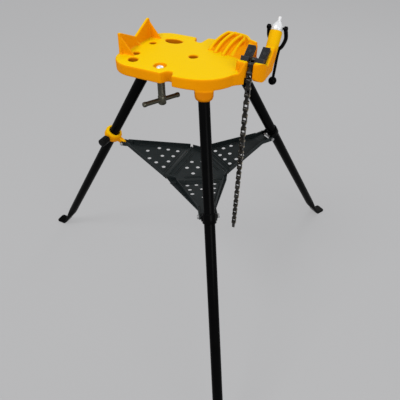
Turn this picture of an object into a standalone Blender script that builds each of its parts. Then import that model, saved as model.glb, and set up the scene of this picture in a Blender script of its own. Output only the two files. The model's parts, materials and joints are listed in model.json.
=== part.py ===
# Tripod chain vise: a folding three-legged bench-high stand. Its cast table carries a pipe rest, a pipe bender,
# a ceiling-brace screw and a chain vise with a screw-tightened chain.
# Metres, +Z up. The origin is on the floor in the middle of the footprint, +X runs along the pipe to the vise end
# and -Y is the near side.

import math

import bmesh
import bpy
import numpy as np
from mathutils import Matrix, Vector

mm = 0.001

# Clearances shared by all fits
seat_gap = 0.3 * mm
running_gap = 0.4 * mm
overrun = 2.0 * mm

# Stand
table_height = 860 * mm
foot_circle = 652 * mm
front_leg_angle = math.radians(58.4)
front_pivot_circle = 112 * mm
rear_pivot_circle = 134 * mm
leg_pivot_drop = 34 * mm

# Legs
near_tube_diameter = 26.5 * mm
far_tube_diameter = 29.5 * mm
rear_tube_diameter = 29.5 * mm
tube_wall = 2.0 * mm
foot_reach = 38.4 * mm
foot_width = 40 * mm
foot_thickness = 8 * mm
foot_corner = 7 * mm
foot_flatten_height = 85 * mm
foot_bend_height = 17 * mm
leg_pin_diameter = 9 * mm
leg_pin_head_diameter = 14 * mm
leg_pin_head_height = 4 * mm
leg_swing_gap = 1.0 * mm

# Leg sockets under the table
socket_diameter = 43 * mm
socket_rim_diameter = 37 * mm
socket_depth = 49 * mm
socket_chamfer = 6 * mm
socket_flat_depth = 1.5 * mm

# Table casting
table_half_width = 118.5 * mm
table_rear_x = -27 * mm
table_rear_bulge = 2 * mm
table_corner_radius = 35 * mm
table_round_x = 148 * mm
table_round_radius = 129 * mm
table_plate = 8 * mm
skirt_wall = 7 * mm
skirt_depth_rear = 24 * mm
skirt_depth_front = 37 * mm
casting_edge_radius = 2.4 * mm
near_notch = (119 * mm, 129 * mm, 145 * mm, 148 * mm)
near_notch_depth = (17.5 * mm, 20.5 * mm)
far_notch = (95 * mm, 102 * mm, 120 * mm, 124 * mm)
far_notch_depth = (26 * mm, 30 * mm)

# Holes in the table: place and diameter
centre_hole = (144 * mm, -2 * mm, 22 * mm)
rear_hole_far = (13 * mm, 30 * mm, 17 * mm)
rear_hole_near = (11 * mm, -46 * mm, 19 * mm)
corner_hole = (24 * mm, -82 * mm, 28 * mm)
large_hole = (54 * mm, 73 * mm, 50 * mm)

# Ceiling-brace screw
brace_x = 99 * mm
brace_y = -82 * mm
brace_recess_diameter = 29 * mm
brace_recess_depth = 7 * mm
brace_screw_diameter = 18 * mm
brace_dome_height = 5 * mm
brace_cap_drop = 1.3 * mm
brace_cap_height = 10 * mm
brace_spigot_diameter = 8 * mm
brace_spigot_height = 4 * mm
brace_nut_diameter = 34 * mm
brace_nut_depth = 47 * mm
brace_head_diameter = 20 * mm
brace_head_height = 23 * mm
brace_head_top_drop = 73 * mm
brace_bar_diameter = 10 * mm
brace_bar_length = 102 * mm
brace_bar_angle = math.radians(60)
brace_bar_offset = 2 * mm
bar_end_collar = 1.2 * mm

# Pipe rest
rest_x = -18 * mm
rest_wall = 8 * mm
rest_half_width = 66 * mm
rest_top_width = 5 * mm
rest_apex_height = 47 * mm
rest_valley_height = 20.6 * mm
rest_foot_half_width = 74 * mm
gusset_wall = 4.5 * mm
gusset_run = 38 * mm
middle_rib_run = 20 * mm
middle_rib_height = 12 * mm

# Pipe bender
bender_set_back = 114 * mm
bender_y = 42 * mm
bender_angle = math.radians(20)
bender_arc_radius = 89 * mm
bender_rise = 34 * mm
bender_length = 80 * mm
bender_floor_drop = 11 * mm
bender_ridge_wall = 5 * mm
bender_ridge_places = (0.0, 24.5 * mm, 43 * mm)
bender_ridge_starts = (0.0, -2 * mm, 9 * mm)
bender_ridge_ends = (60 * mm, 72 * mm, 80 * mm)
bender_body_width = 78 * mm
bender_floor_start = -1 * mm
bender_floor_end = 69 * mm
bender_depth = 26 * mm
hook_plate = (22 * mm, 12 * mm, 5 * mm)

# Vise cheeks, jaws and saddle
slot_stand_off = 18 * mm
slot_width = 16 * mm
inner_cheek_wall = 25 * mm
outer_cheek_wall = 26 * mm
cheek_near = 35 * mm
cheek_far = 43 * mm
inner_cheek_near = 30 * mm
cheek_bottom_drop = 18 * mm
cheek_valley_height = 11 * mm
jaw_angle_near = math.radians(27)
jaw_angle_far = math.radians(33)
jaw_thickness = 9.5 * mm
jaw_length_near = 24 * mm
jaw_length_far = 38 * mm
jaw_width_inner = 18 * mm
jaw_width_outer = 17 * mm
jaw_toe = 3 * mm
jaw_tooth_pitch = 4 * mm
jaw_tooth_depth = 1.2 * mm
jaw_screw_diameter = 5 * mm
jaw_screw_head = 8 * mm
jaw_screw_length = 9 * mm
jaw_screw_recess = 3.2 * mm
saddle_y = -7.5 * mm
saddle_radius = 9.8 * mm
saddle_centre_drop = -2 * mm
saddle_depth = 15 * mm
rear_web_near = 27 * mm
rear_web_top_drop = -8 * mm

# Screw housing, chain screw and handle
screw_tilt = math.radians(32)
housing_diameter = 29 * mm
housing_top_y = 73.5 * mm
housing_top_height = 61 * mm
housing_length = 86 * mm
chain_screw_diameter = 16 * mm
chain_screw_lead = 3 * mm
nut_turn_range = math.radians(190)
stem_diameter = 8 * mm
stem_length = 11 * mm
washer_thickness = 2 * mm
washer_diameter = 26 * mm
nut_flange_diameter = 26 * mm
nut_flange_height = 10 * mm
nut_dome_height = 7 * mm
nut_dome_diameter = 12 * mm
nut_thread_depth = 12 * mm
handle_rod_diameter = 8 * mm
handle_half_width = 21 * mm
handle_eye_diameter = 13 * mm
handle_eye_width = 8.6 * mm
handle_pin_diameter = 6 * mm
handle_pivot_height = 5 * mm
handle_join = (41 * mm, -62 * mm)
handle_elbow = (24 * mm, -30 * mm)
handle_ball_place = (28 * mm, -137 * mm)
handle_stem_diameter = 6.5 * mm
handle_ball_diameter = 19 * mm
anchor_eye_diameter = 13 * mm
anchor_pin_diameter = 6 * mm
anchor_pin_head = 9 * mm
anchor_drop = 26 * mm

# Chain
chain_pitch = 17.5 * mm
chain_plate_height = 11 * mm
chain_waist = 7.6 * mm
inner_link_width = 7.4 * mm
riveted_link_width = 8.2 * mm
outer_plate_wall = 1.8 * mm
chain_pin_diameter = 4.8 * mm
chain_pin_length = 14.2 * mm
link_wrap = math.radians(28)
saddle_gap = 0.4 * mm
first_pin_angle = math.radians(-40.5)
anchor_link_count = 3
links_over_saddle = 5
links_per_run = 4
chain_runs = 7
anchor_lean = math.radians(27)
chain_hang_y = -28.5 * mm
chain_lean_length = 60 * mm
chain_tip_share = 1.35

# Tray
tray_drop = 330 * mm
sheet = 2 * mm
tray_rim_height = 13 * mm
hub_hinge_radius = 62 * mm
hub_rear_hinge = 168 * mm
hub_front_hinge = 138 * mm
hinge_barrel_diameter = 8 * mm
hinge_pin_diameter = 4 * mm
hinge_tail = 8 * mm
hinge_barrel_share = 0.17
tray_hole_diameter = 12 * mm
near_clamp_height = 575 * mm
far_clamp_height = 550 * mm
rear_eye_height = 540 * mm
clamp_wall = 3.5 * mm
clamp_lug = 2 * mm
clamp_length = 24 * mm
clamp_boss_diameter = 14 * mm
clamp_pivot_inset = 26 * mm
arm_wall = 3 * mm
arm_height = 14 * mm
arm_gap = 0.5 * mm
arm_root_height = 11 * mm
clamp_bolt_diameter = 6 * mm
clamp_bolt_head = 11 * mm
clamp_bolt_head_height = 4.5 * mm
leaf_tip_half_width = 20 * mm
collar_diameter = 52 * mm
collar_length = 30 * mm
collar_round_share = 0.25
collar_bore_gap = 2.5 * mm
collar_lug_reach = 50 * mm
collar_lug_wall = 11 * mm
collar_lug_height = 15 * mm
knob_diameter = 24 * mm
knob_length = 30 * mm
knob_stud_diameter = 8 * mm
knob_stand_off = 6 * mm

# Drawing fineness
tube_sides = 18
small_sides = 10
hole_sides = 16
edge_steps = 1

# Directions and places that follow from the sizes
up = Vector((0, 0, 1))
across = Vector((1, 0, 0))
pivot_height = table_height - leg_pivot_drop
slot_x = table_round_x + table_round_radius + slot_stand_off
bender_x = slot_x - bender_set_back
screw_draw = chain_screw_lead * nut_turn_range / (2 * math.pi)


def spade_reach(angle):
    """How far a foot reaches along +X from the stand's centre, when its leg stands at this angle."""
    tip = foot_circle + foot_reach - foot_corner
    half = foot_width / 2 - foot_corner
    return tip * math.cos(angle) + half * abs(math.sin(angle)) + foot_corner


pin_seat = socket_diameter / 2 - socket_flat_depth
stand_centre = Vector(((spade_reach(0) - spade_reach(front_leg_angle)) / 2, 0, 0))


def leg_frame(angle):
    """Unit vector pointing out along a leg's plane, and the one square to that plane."""
    outward = Vector((math.cos(angle), math.sin(angle), 0))
    return outward, up.cross(outward)


def leg_axis(circle, angle):
    """Pivot point of a leg and the unit vector that runs down its tube."""
    outward, side = leg_frame(angle)
    pivot = stand_centre + outward * circle + up * pivot_height
    ground = stand_centre + outward * foot_circle
    return pivot, (ground - pivot).normalized(), outward, side


legs = {
    "near": leg_axis(front_pivot_circle, -front_leg_angle) + (near_tube_diameter / 2,),
    "far": leg_axis(front_pivot_circle, front_leg_angle) + (far_tube_diameter / 2,),
    "rear": leg_axis(rear_pivot_circle, math.pi) + (rear_tube_diameter / 2,),
}

for old in list(bpy.data.objects):
    bpy.data.objects.remove(old, do_unlink=True)

parts = bpy.data.collections.new("tripod_chain_vise")
cutters = bpy.data.collections.new("cutters")
bpy.context.scene.collection.children.link(parts)
bpy.context.scene.collection.children.link(cutters)


def finish(name, colour, roughness, metallic):
    """A plain Principled material for one kind of part."""
    material = bpy.data.materials.new(name)
    material.use_nodes = True
    shader = material.node_tree.nodes["Principled BSDF"]
    shader.inputs["Base Color"].default_value = (*colour, 1)
    shader.inputs["Roughness"].default_value = roughness
    shader.inputs["Metallic"].default_value = metallic
    return material


cast_yellow = finish("cast_yellow", (0.93, 0.52, 0.0), 0.4, 0)
leg_black = finish("leg_black", (0.012, 0.012, 0.014), 0.35, 0)
tray_grey = finish("tray_grey", (0.045, 0.055, 0.055), 0.5, 0)
chain_black = finish("chain_black", (0.03, 0.028, 0.025), 0.35, 1)
hardened_black = finish("hardened_black", (0.02, 0.02, 0.025), 0.5, 0.6)
zinc = finish("zinc", (0.8, 0.8, 0.82), 0.25, 1)
dark_steel = finish("dark_steel", (0.16, 0.16, 0.13), 0.4, 1)


def keep(obj, material):
    """File a finished part in the object's collection, with its material."""
    obj.data.materials.clear()
    obj.data.materials.append(material)
    if obj.name not in parts.objects:
        parts.objects.link(obj)
    return obj


def tool(obj):
    """File a shape that only adds to or cuts another one."""
    cutters.objects.link(obj)
    obj.hide_render = True
    obj.display_type = "WIRE"
    return obj


def mesh_object(name, bm, matrix=None):
    """Turn a bmesh into an object, placed by a matrix."""
    mesh = bpy.data.meshes.new(name)
    bm.normal_update()
    bm.to_mesh(mesh)
    bm.free()
    obj = bpy.data.objects.new(name, mesh)
    if matrix is not None:
        obj.matrix_world = matrix
    return obj


def frame(origin, x_axis, y_axis, z_axis):
    """Matrix that places a shape at an origin, along three axes."""
    matrix = Matrix.Identity(4)
    for column, axis in enumerate((x_axis, y_axis, z_axis)):
        matrix.col[column][:3] = axis
    matrix.translation = origin
    return matrix


def along(origin, direction, side=None):
    """Frame whose Z runs along a direction."""
    z_axis = Vector(direction).normalized()
    if side is None:
        side = across if abs(z_axis.dot(across)) < 0.9 else Vector((0, 1, 0))
    x_axis = (Vector(side) - z_axis * z_axis.dot(Vector(side))).normalized()
    return frame(Vector(origin), x_axis, z_axis.cross(x_axis), z_axis)


def cylinder(name, start, end, radius, sides=tube_sides, end_radius=None, side=None):
    """Cylinder or cone between two points."""
    start, end = Vector(start), Vector(end)
    bm = bmesh.new()
    bmesh.ops.create_cone(
        bm, cap_ends=True, segments=sides, radius1=radius,
        radius2=radius if end_radius is None else end_radius, depth=(end - start).length,
    )
    return mesh_object(name, bm, along((start + end) / 2, end - start, side))


def box(name, centre, size, matrix=None):
    """Box of a given size about a centre, in world axes or in a frame."""
    bm = bmesh.new()
    bmesh.ops.create_cube(bm, size=1, matrix=Matrix.Diagonal((*size, 1)))
    bmesh.ops.translate(bm, verts=bm.verts, vec=Vector(centre))
    return mesh_object(name, bm, matrix)


def outline_curve(name, outlines, thickness):
    """Flat filled curve: the first outline is the edge and the others are holes."""
    curve = bpy.data.curves.new(name, "CURVE")
    curve.dimensions = "2D"
    curve.fill_mode = "BOTH"
    curve.extrude = thickness / 2
    curve.render_resolution_u = 0
    for points in outlines:
        spline = curve.splines.new("POLY")
        spline.points.add(len(points) - 1)
        for target, (x, y) in zip(spline.points, points):
            target.co = (x, y, 0, 1)
        spline.use_cyclic_u = True
    return bpy.data.objects.new(name, curve)


def to_mesh(curve_object):
    """Mesh copy of a curve object, with its caps welded; the curve is removed."""
    cutters.objects.link(curve_object)
    bpy.context.view_layer.update()
    graph = bpy.context.evaluated_depsgraph_get()
    mesh = bpy.data.meshes.new_from_object(curve_object.evaluated_get(graph))
    bm = bmesh.new()
    bm.from_mesh(mesh)
    bmesh.ops.remove_doubles(bm, verts=bm.verts, dist=seat_gap / 30)
    bmesh.ops.dissolve_limit(bm, angle_limit=math.radians(1), verts=bm.verts, edges=bm.edges)
    bmesh.ops.recalc_face_normals(bm, faces=bm.faces)
    bm.to_mesh(mesh)
    bm.free()
    name, place = curve_object.name, curve_object.matrix_world.copy()
    bpy.data.objects.remove(curve_object, do_unlink=True)
    obj = bpy.data.objects.new(name, mesh)
    obj.matrix_world = place
    return obj


def flat(name, outlines, thickness, matrix):
    """Plate of a given outline, centred on the frame's XY plane."""
    obj = to_mesh(outline_curve(name, outlines, thickness))
    obj.matrix_world = matrix
    return obj


def rod(name, points, radius, sides=2):
    """Round rod along a smooth run of points, as a welded mesh."""
    curve = bpy.data.curves.new(name, "CURVE")
    curve.dimensions = "3D"
    curve.bevel_depth = radius
    curve.bevel_resolution = sides
    curve.use_fill_caps = True
    curve.render_resolution_u = 0
    spline = curve.splines.new("POLY")
    spline.points.add(len(points) - 1)
    for target, point in zip(spline.points, points):
        target.co = (*point, 1)
    return to_mesh(bpy.data.objects.new(name, curve))


def smooth_run(points, count):
    """Points read at even steps from a Catmull-Rom curve through the given ones."""
    run = [Vector(p) for p in points]
    run = [run[0] * 2 - run[1]] + run + [run[-1] * 2 - run[-2]]
    read = []
    for step in range(count + 1):
        place = step / count * (len(run) - 3)
        index = min(int(place), len(run) - 4)
        t = place - index
        a, b, c, d = run[index:index + 4]
        read.append(
            (b * 2 + (c - a) * t + (a * 2 - b * 5 + c * 4 - d) * t * t + (b * 3 - a - c * 3 + d) * t ** 3) / 2
        )
    return read


def turned(name, profile, matrix, sides=tube_sides):
    """Turned body: the profile of (radius, height) runs from the top of its outer side down to the bottom."""
    bm = bmesh.new()
    closed = profile[0] == profile[-1]
    verts = [bm.verts.new((radius, 0, height)) for radius, height in (profile[:-1] if closed else profile)]
    for a, b in zip(verts, verts[1:] + verts[:1] if closed else verts[1:]):
        bm.edges.new((a, b))
    obj = mesh_object(name, bm, matrix)
    screw = obj.modifiers.new("turn", "SCREW")
    screw.steps = sides
    screw.render_steps = sides
    screw.use_merge_vertices = True
    screw.merge_threshold = seat_gap / 30
    screw.use_normal_calculate = False
    return obj


def ring_profile(bore, outer, low, high, round_over):
    """Closed profile of a ring with rounded outer edges."""
    turn = [math.radians(a) for a in (90, 45, 0)]
    top = [(outer - round_over + round_over * math.cos(a), high - round_over + round_over * math.sin(a)) for a in turn]
    low_arc = [(r, low + high - z) for r, z in reversed(top)]
    return [(bore, high)] + top + low_arc + [(bore, low), (bore, high)]


def loft(name, sections):
    """Skin a list of rings, each with as many points, and close both ends."""
    bm = bmesh.new()
    rings = [[bm.verts.new(point) for point in ring] for ring in sections]
    for low, high in zip(rings, rings[1:]):
        for i in range(len(low)):
            j = (i + 1) % len(low)
            bm.faces.new((low[i], low[j], high[j], high[i]))
    bm.faces.new(reversed(rings[0]))
    bm.faces.new(rings[-1])
    bmesh.ops.recalc_face_normals(bm, faces=bm.faces)
    return mesh_object(name, bm)


def bevel(obj, width, segments=2, angle=math.radians(38)):
    """Rounded edges."""
    modifier = obj.modifiers.new("round", "BEVEL")
    modifier.width = width
    modifier.segments = segments
    modifier.limit_method = "ANGLE"
    modifier.angle_limit = angle
    modifier.use_clamp_overlap = True
    return obj


def join_by(obj, other, operation):
    """Boolean of one object with another."""
    modifier = obj.modifiers.new(operation.lower() + "_" + other.name, "BOOLEAN")
    modifier.operation = operation
    modifier.object = tool(other)
    modifier.solver = "EXACT"
    return obj


def add(obj, *others):
    for other in others:
        join_by(obj, other, "UNION")
    return obj


def cut(obj, *others):
    for other in others:
        join_by(obj, other, "DIFFERENCE")
    return obj


def at_origin(obj, origin):
    """Move an object's origin to a point on its joint's axis; its shape stays where it is."""
    bpy.context.view_layer.update()
    shift = obj.matrix_world.inverted() @ Vector(origin)
    obj.data.transform(Matrix.Translation(-shift))
    obj.matrix_world = obj.matrix_world @ Matrix.Translation(shift)
    return obj


def circle(centre, radius, count=hole_sides, turn=0.0):
    """Points of a circle, as an outline."""
    steps = [turn + 2 * math.pi * i / count for i in range(count)]
    return [(centre[0] + radius * math.cos(a), centre[1] + radius * math.sin(a)) for a in steps]


def arc(centre, radius, start, end, count):
    """Points of an arc from one angle to another, ends included."""
    steps = [start + (end - start) * i / count for i in range(count + 1)]
    return [(centre[0] + radius * math.cos(a), centre[1] + radius * math.sin(a)) for a in steps]


# Table casting


def table_outline():
    """Plan of the table: straight flanks, a round vise end, two notches and a rounded rear end."""
    half, corner = table_half_width, table_corner_radius
    rear = table_rear_x
    points = []
    points += arc((rear + corner, -half + corner), corner, math.pi, 1.5 * math.pi, 5)
    n0, n1, n2, n3 = near_notch
    points += [(n0, -half), (n1, -half + near_notch_depth[0]), (n2, -half + near_notch_depth[1])]
    start = math.atan2(-math.sqrt(table_round_radius ** 2 - (n3 - table_round_x) ** 2), n3 - table_round_x)
    f0, f1, f2, f3 = far_notch
    end = math.atan2(math.sqrt(table_round_radius ** 2 - (f3 - table_round_x) ** 2), f3 - table_round_x)
    points += arc((table_round_x, 0), table_round_radius, start, end, 24)
    points += [(f2, half - far_notch_depth[1]), (f1, half - far_notch_depth[0]), (f0, half)]
    points += arc((rear + corner, half - corner), corner, math.pi / 2, math.pi, 5)
    points.append((rear - table_rear_bulge, 0))
    return points


def table_shell():
    """Open-bottomed shell of the table: a plate with a skirt that deepens towards the vise."""
    outline = table_outline()
    length = table_round_x + table_round_radius - table_rear_x
    bm = bmesh.new()
    top = [bm.verts.new((x, y, table_height)) for x, y in outline]
    depth = [
        skirt_depth_rear + (skirt_depth_front - skirt_depth_rear) * (x - table_rear_x) / length for x, y in outline
    ]
    low = [bm.verts.new((x, y, table_height - d)) for (x, y), d in zip(outline, depth)]
    bm.faces.new(top)
    for i in range(len(top)):
        j = (i + 1) % len(top)
        bm.faces.new((top[j], top[i], low[i], low[j]))
    shell = mesh_object("table_casting", bm)
    wall = shell.modifiers.new("wall", "SOLIDIFY")
    wall.thickness = skirt_wall
    wall.offset = -1
    wall.use_even_offset = True
    wall.use_quality_normals = True
    return bevel(shell, casting_edge_radius, edge_steps)


yz_frame = (Vector((0, 1, 0)), up, across)


def rest_parts():
    """V wall across the rear end, a gusset behind each ear and a low rib at the valley."""
    base = -table_plate / 2
    wall_outline = [
        (-rest_foot_half_width, base), (rest_foot_half_width, base),
        (rest_half_width, rest_apex_height), (rest_half_width - rest_top_width, rest_apex_height),
        (0, rest_valley_height), (-rest_half_width + rest_top_width, rest_apex_height),
        (-rest_half_width, rest_apex_height),
    ]
    origin = Vector((rest_x, 0, table_height))
    wall = bevel(flat("rest_wall", [wall_outline], rest_wall, frame(origin, *yz_frame)), rest_wall / 6, 1)
    pieces = [wall]
    for sign in (-1, 1):
        place = Vector((rest_x, sign * (rest_half_width - rest_top_width / 2), table_height))
        gusset = [(0, base), (gusset_run - base / 2, base), (0, rest_apex_height - rest_wall / 4)]
        pieces.append(flat("rest_gusset", [gusset], gusset_wall, frame(place, across, up, Vector((0, -1, 0)))))
    rib = [(0, base), (middle_rib_run - base, base), (0, middle_rib_height)]
    pieces.append(flat("rest_rib", [rib], gusset_wall, frame(origin, across, up, Vector((0, -1, 0)))))
    return pieces


def bender_parts():
    """Arc-topped ridges with lower arc floors between them."""
    run = Vector((math.sin(bender_angle), math.cos(bender_angle), 0))
    side = Vector((math.cos(bender_angle), -math.sin(bender_angle), 0))
    base = -bender_depth
    drop_at_start = math.sqrt(bender_arc_radius ** 2 - (bender_arc_radius - bender_rise) ** 2)

    def profile(start, end, lower):
        top_at = start + drop_at_start
        start = start - overrun
        points = [(start, base)]
        count = 9
        for i in range(count + 1):
            s = start + (end - start) * i / count
            height = math.sqrt(bender_arc_radius ** 2 - (s - top_at) ** 2) - bender_arc_radius + bender_rise
            points.append((s, max(height - lower, -table_plate / 2)))
        points.append((end, base))
        return points

    pieces = []
    for place, start, end in zip(bender_ridge_places, bender_ridge_starts, bender_ridge_ends):
        origin = Vector((bender_x, bender_y, table_height)) + side * place
        matrix = frame(origin, run, up, run.cross(up))
        pieces.append(flat("bender_ridge", [profile(start, end, 0)], bender_ridge_wall, matrix))
    origin = Vector((bender_x, bender_y, table_height)) + side * bender_body_width / 2
    matrix = frame(origin, run, up, run.cross(up))
    floor = profile(bender_floor_start, bender_floor_end, bender_floor_drop)
    pieces.append(flat("bender_floor", [floor], bender_body_width, matrix))
    return pieces


slot_near_face = slot_x - slot_width / 2
slot_far_face = slot_x + slot_width / 2
cheek_bottom = table_height - cheek_bottom_drop
outer_cheek_x = slot_far_face + outer_cheek_wall / 2
inner_cheek_x = slot_near_face - inner_cheek_wall / 2


def cheek_outline(near, far, bottom):
    """Side view of a cheek: a V top at the jaws' angles, with rounded shoulders."""
    valley = cheek_valley_height
    shoulder = skirt_wall
    near_top = valley + (near - shoulder) * math.tan(jaw_angle_near)
    far_top = valley + far * math.tan(jaw_angle_far)
    points = [(-near, -bottom + shoulder), (-near + shoulder, -bottom), (far, -bottom), (far, far_top)]
    points += [(0, valley), (-near + shoulder, near_top)]
    points += [(-near, near_top - shoulder / 2)]
    return points


def cheek_parts():
    """Both cheeks, the saddle bar that the chain runs over and the web behind it."""
    parts_made = []
    inner = flat(
        "inner_cheek", [cheek_outline(inner_cheek_near, cheek_far, cheek_bottom_drop)], inner_cheek_wall,
        frame(Vector((inner_cheek_x, 0, table_height)), *yz_frame),
    )
    outer = flat(
        "outer_cheek", [cheek_outline(cheek_near, cheek_far, cheek_bottom_drop)], outer_cheek_wall,
        frame(Vector((outer_cheek_x, 0, table_height)), *yz_frame),
    )
    for cheek in (inner, outer):
        parts_made.append(bevel(cheek, casting_edge_radius, edge_steps))
    centre = (saddle_y, -saddle_centre_drop)
    saddle = circle(centre, saddle_radius)
    span = slot_width + 2 * skirt_wall
    parts_made.append(flat("saddle", [saddle], span, frame(Vector((slot_x, 0, table_height)), *yz_frame)))
    web = [
        (rear_web_near, -saddle_depth), (cheek_far - casting_edge_radius * 2, -saddle_depth),
        (cheek_far - casting_edge_radius * 2, -rear_web_top_drop), (rear_web_near, -rear_web_top_drop),
    ]
    parts_made.append(flat("rear_web", [web], span, frame(Vector((slot_x, 0, table_height)), *yz_frame)))
    return parts_made


screw_axis = Vector((0, math.sin(screw_tilt), math.cos(screw_tilt)))
screw_side = across.cross(screw_axis)
housing_top = Vector((outer_cheek_x, housing_top_y, table_height + housing_top_height))


def on_screw(distance):
    """Point on the screw's axis, a distance above the housing's top face."""
    return housing_top + screw_axis * distance


def socket(name):
    """Boss under the table that a leg's head sits in."""
    pivot, down, outward, side, radius = legs[name]
    lowest = table_height - socket_depth
    at_rim = pivot + down * ((pivot.z - lowest) / -down.z)
    centre = at_rim.lerp(pivot, 0.5)
    top = table_height - table_plate / 2
    profile = [
        (0, top), (socket_diameter / 2, top), (socket_diameter / 2, lowest + 2 * socket_chamfer),
        (socket_diameter / 2 - socket_chamfer / 4, lowest + socket_chamfer),
        (socket_rim_diameter / 2, lowest), (0, lowest),
    ]
    place = Matrix.Translation(Vector((centre.x, centre.y, 0)))
    return turned("socket_" + name, profile, place)


def leg_bore(name):
    """Clearance for a leg's head: a round-ended bore along the leg."""
    pivot, down, outward, side, radius = legs[name]
    reach = socket_depth
    bore = radius + (leg_swing_gap if name == "rear" else running_gap)
    rings = leg_head_rings(pivot, down, side, bore)
    rings.append(ring(pivot + down * reach * 2, side, side.cross(down), bore, bore, 2))
    return loft("bore_" + name, rings)


def ring(centre, wide, thick, half_width, half_thickness, power):
    """Ring of points on a superellipse: power 2 is round, a high one is a rounded bar."""
    points = []
    for i in range(tube_sides):
        angle = 2 * math.pi * (i + 0.5) / tube_sides
        c, s = math.cos(angle), math.sin(angle)
        x = math.copysign(abs(c) ** (2 / power), c) * half_width
        y = math.copysign(abs(s) ** (2 / power), s) * half_thickness
        points.append(centre + wide * x + thick * y)
    return points


def leg_head_rings(pivot, down, side, radius):
    """Rounded top of a leg, about its pivot."""
    thick = side.cross(down)
    rings = []
    for degrees in (78, 55, 30):
        rise = radius * math.sin(math.radians(degrees))
        wide = radius * math.cos(math.radians(degrees))
        rings.append(ring(pivot - down * rise, side, thick, wide, wide, 2))
    rings.append(ring(pivot, side, thick, radius, radius, 2))
    return rings


def leg_tube(name):
    """Tube with a rounded open head and a foot that is flattened, bent level and cut square."""
    pivot, down, outward, side, radius = legs[name]
    thick = side.cross(down)
    rings = leg_head_rings(pivot, down, side, radius)
    flat_half = foot_thickness / 2

    def on_axis(height):
        return pivot + down * ((pivot.z - height) / -down.z)

    rings.append(ring(on_axis(foot_flatten_height), side, thick, radius, radius, 2))
    middle_height = (foot_flatten_height + foot_bend_height) / 2
    middle_width = (radius * 1.05 + foot_width / 2) / 2
    rings.append(ring(on_axis(middle_height), side, thick, middle_width, (radius + flat_half) / 2, 2.4))
    bend = on_axis(foot_bend_height)
    rings.append(ring(bend, side, thick, foot_width / 2 * 0.97, flat_half * 1.08, 5))
    flat_start = stand_centre + outward * (foot_circle + foot_thickness / 4) + up * flat_half
    turn_down = (down + outward).normalized()
    knee = on_axis(foot_thickness).lerp(flat_start, 0.35) + up * flat_half * 0.25
    rings.append(ring(knee, side, side.cross(turn_down), foot_width / 2, flat_half, 8))
    rings.append(ring(flat_start, side, -up, foot_width / 2, flat_half, 12))
    tip = stand_centre + outward * (foot_circle + foot_reach) + up * flat_half
    for degrees in (0, 30, 60, 90):
        a = math.radians(degrees)
        place = tip - outward * foot_corner * (1 - math.sin(a))
        half = foot_width / 2 - foot_corner * (1 - math.cos(a))
        rings.append(ring(place, side, -up, half, flat_half, 12))
    tube = loft(name + "_leg", rings)
    bore_end = on_axis(foot_flatten_height + foot_thickness)
    bore = cylinder("tube_bore", pivot - down * radius * 2, bore_end, radius - tube_wall)
    pin_radius = leg_pin_diameter / 2 + seat_gap
    reach = side * socket_diameter
    pin_hole = cylinder("leg_pin_hole", pivot - reach, pivot + reach, pin_radius, small_sides)
    return at_origin(keep(cut(tube, bore, pin_hole), leg_black), pivot)


def leg_pin(name):
    """Cross pin with a head at each end, through the socket and the leg's head."""
    pivot, down, outward, side, radius = legs[name]
    half = pin_seat + seat_gap
    reach = side * (half + leg_pin_head_height / 2)
    shank = cylinder(name + "_leg_pin", pivot - reach, pivot + reach, leg_pin_diameter / 2, small_sides)
    for sign in (-1, 1):
        start = pivot + side * sign * half
        end = pivot + side * sign * (half + leg_pin_head_height)
        head = cylinder("pin_head", start, end, leg_pin_head_diameter / 2, small_sides)
        add(shank, head)
    return at_origin(keep(shank, zinc if name == "rear" else leg_black), pivot)


def swing_relief():
    """Room under the table for the rear leg to swing in towards the middle."""
    pivot, down, outward, side, radius = legs["rear"]
    half = radius + leg_swing_gap
    inward = -outward
    back = -socket_chamfer
    outline = [(0, half), (socket_diameter, half), (socket_diameter, -socket_depth), (back, -socket_depth),
               (back, 0), (0, 0)]
    return flat("swing_relief", [outline], 2 * half, frame(pivot, inward, up, inward.cross(up)))


def make_casting():
    casting = table_shell()
    add(casting, *rest_parts())
    add(casting, *bender_parts())
    add(casting, *cheek_parts())
    add(casting, cylinder("housing", on_screw(0), on_screw(-housing_length), housing_diameter / 2))
    nut_top = Vector((brace_x, brace_y, table_height - table_plate / 2))
    nut_low = Vector((brace_x, brace_y, table_height - brace_nut_depth))
    add(casting, cylinder("brace_nut", nut_top, nut_low, brace_nut_diameter / 2))
    for name in legs:
        add(casting, socket(name))
    below = cheek_bottom - housing_length
    trim = Vector((outer_cheek_x, 0, below + (cheek_bottom - below) / 2))
    size = (outer_cheek_wall * 2, housing_length * 2, cheek_bottom - below)
    cut(casting, box("housing_trim", trim, size))
    for name in legs:
        cut(casting, leg_bore(name))
        pivot, down, outward, side, radius = legs[name]
        reach = side * socket_diameter
        cut(casting, cylinder("socket_pin_hole", pivot - reach, pivot + reach, leg_pin_diameter / 2 + seat_gap,
                              small_sides))
        for sign in (-1, 1):
            seat = side * sign * pin_seat
            out = side * sign * socket_diameter
            cut(casting, cylinder("pin_head_seat", pivot + seat, pivot + out,
                                  leg_pin_head_diameter / 2 + running_gap, small_sides))
    cut(casting, swing_relief())
    for x, y, diameter in (centre_hole, rear_hole_far, rear_hole_near, corner_hole, large_hole):
        top = Vector((x, y, table_height + overrun))
        low = Vector((x, y, table_height - table_plate - overrun))
        cut(casting, cylinder("table_hole", low, top, diameter / 2, tube_sides))
    brace = Vector((brace_x, brace_y, table_height))
    recess_low = brace - up * brace_recess_depth
    cut(casting, cylinder("brace_recess", recess_low, brace + up * overrun, brace_recess_diameter / 2))
    bore = brace_screw_diameter / 2 + running_gap
    cut(casting, cylinder("brace_bore", brace - up * (brace_nut_depth + overrun), brace, bore))
    cut(casting, cylinder("screw_bore", on_screw(-housing_length * 2), on_screw(overrun),
                          chain_screw_diameter / 2 + running_gap))
    room = anchor_room()
    cut(casting, room)
    return keep(casting, cast_yellow)


# Vise jaws and their screws


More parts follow.
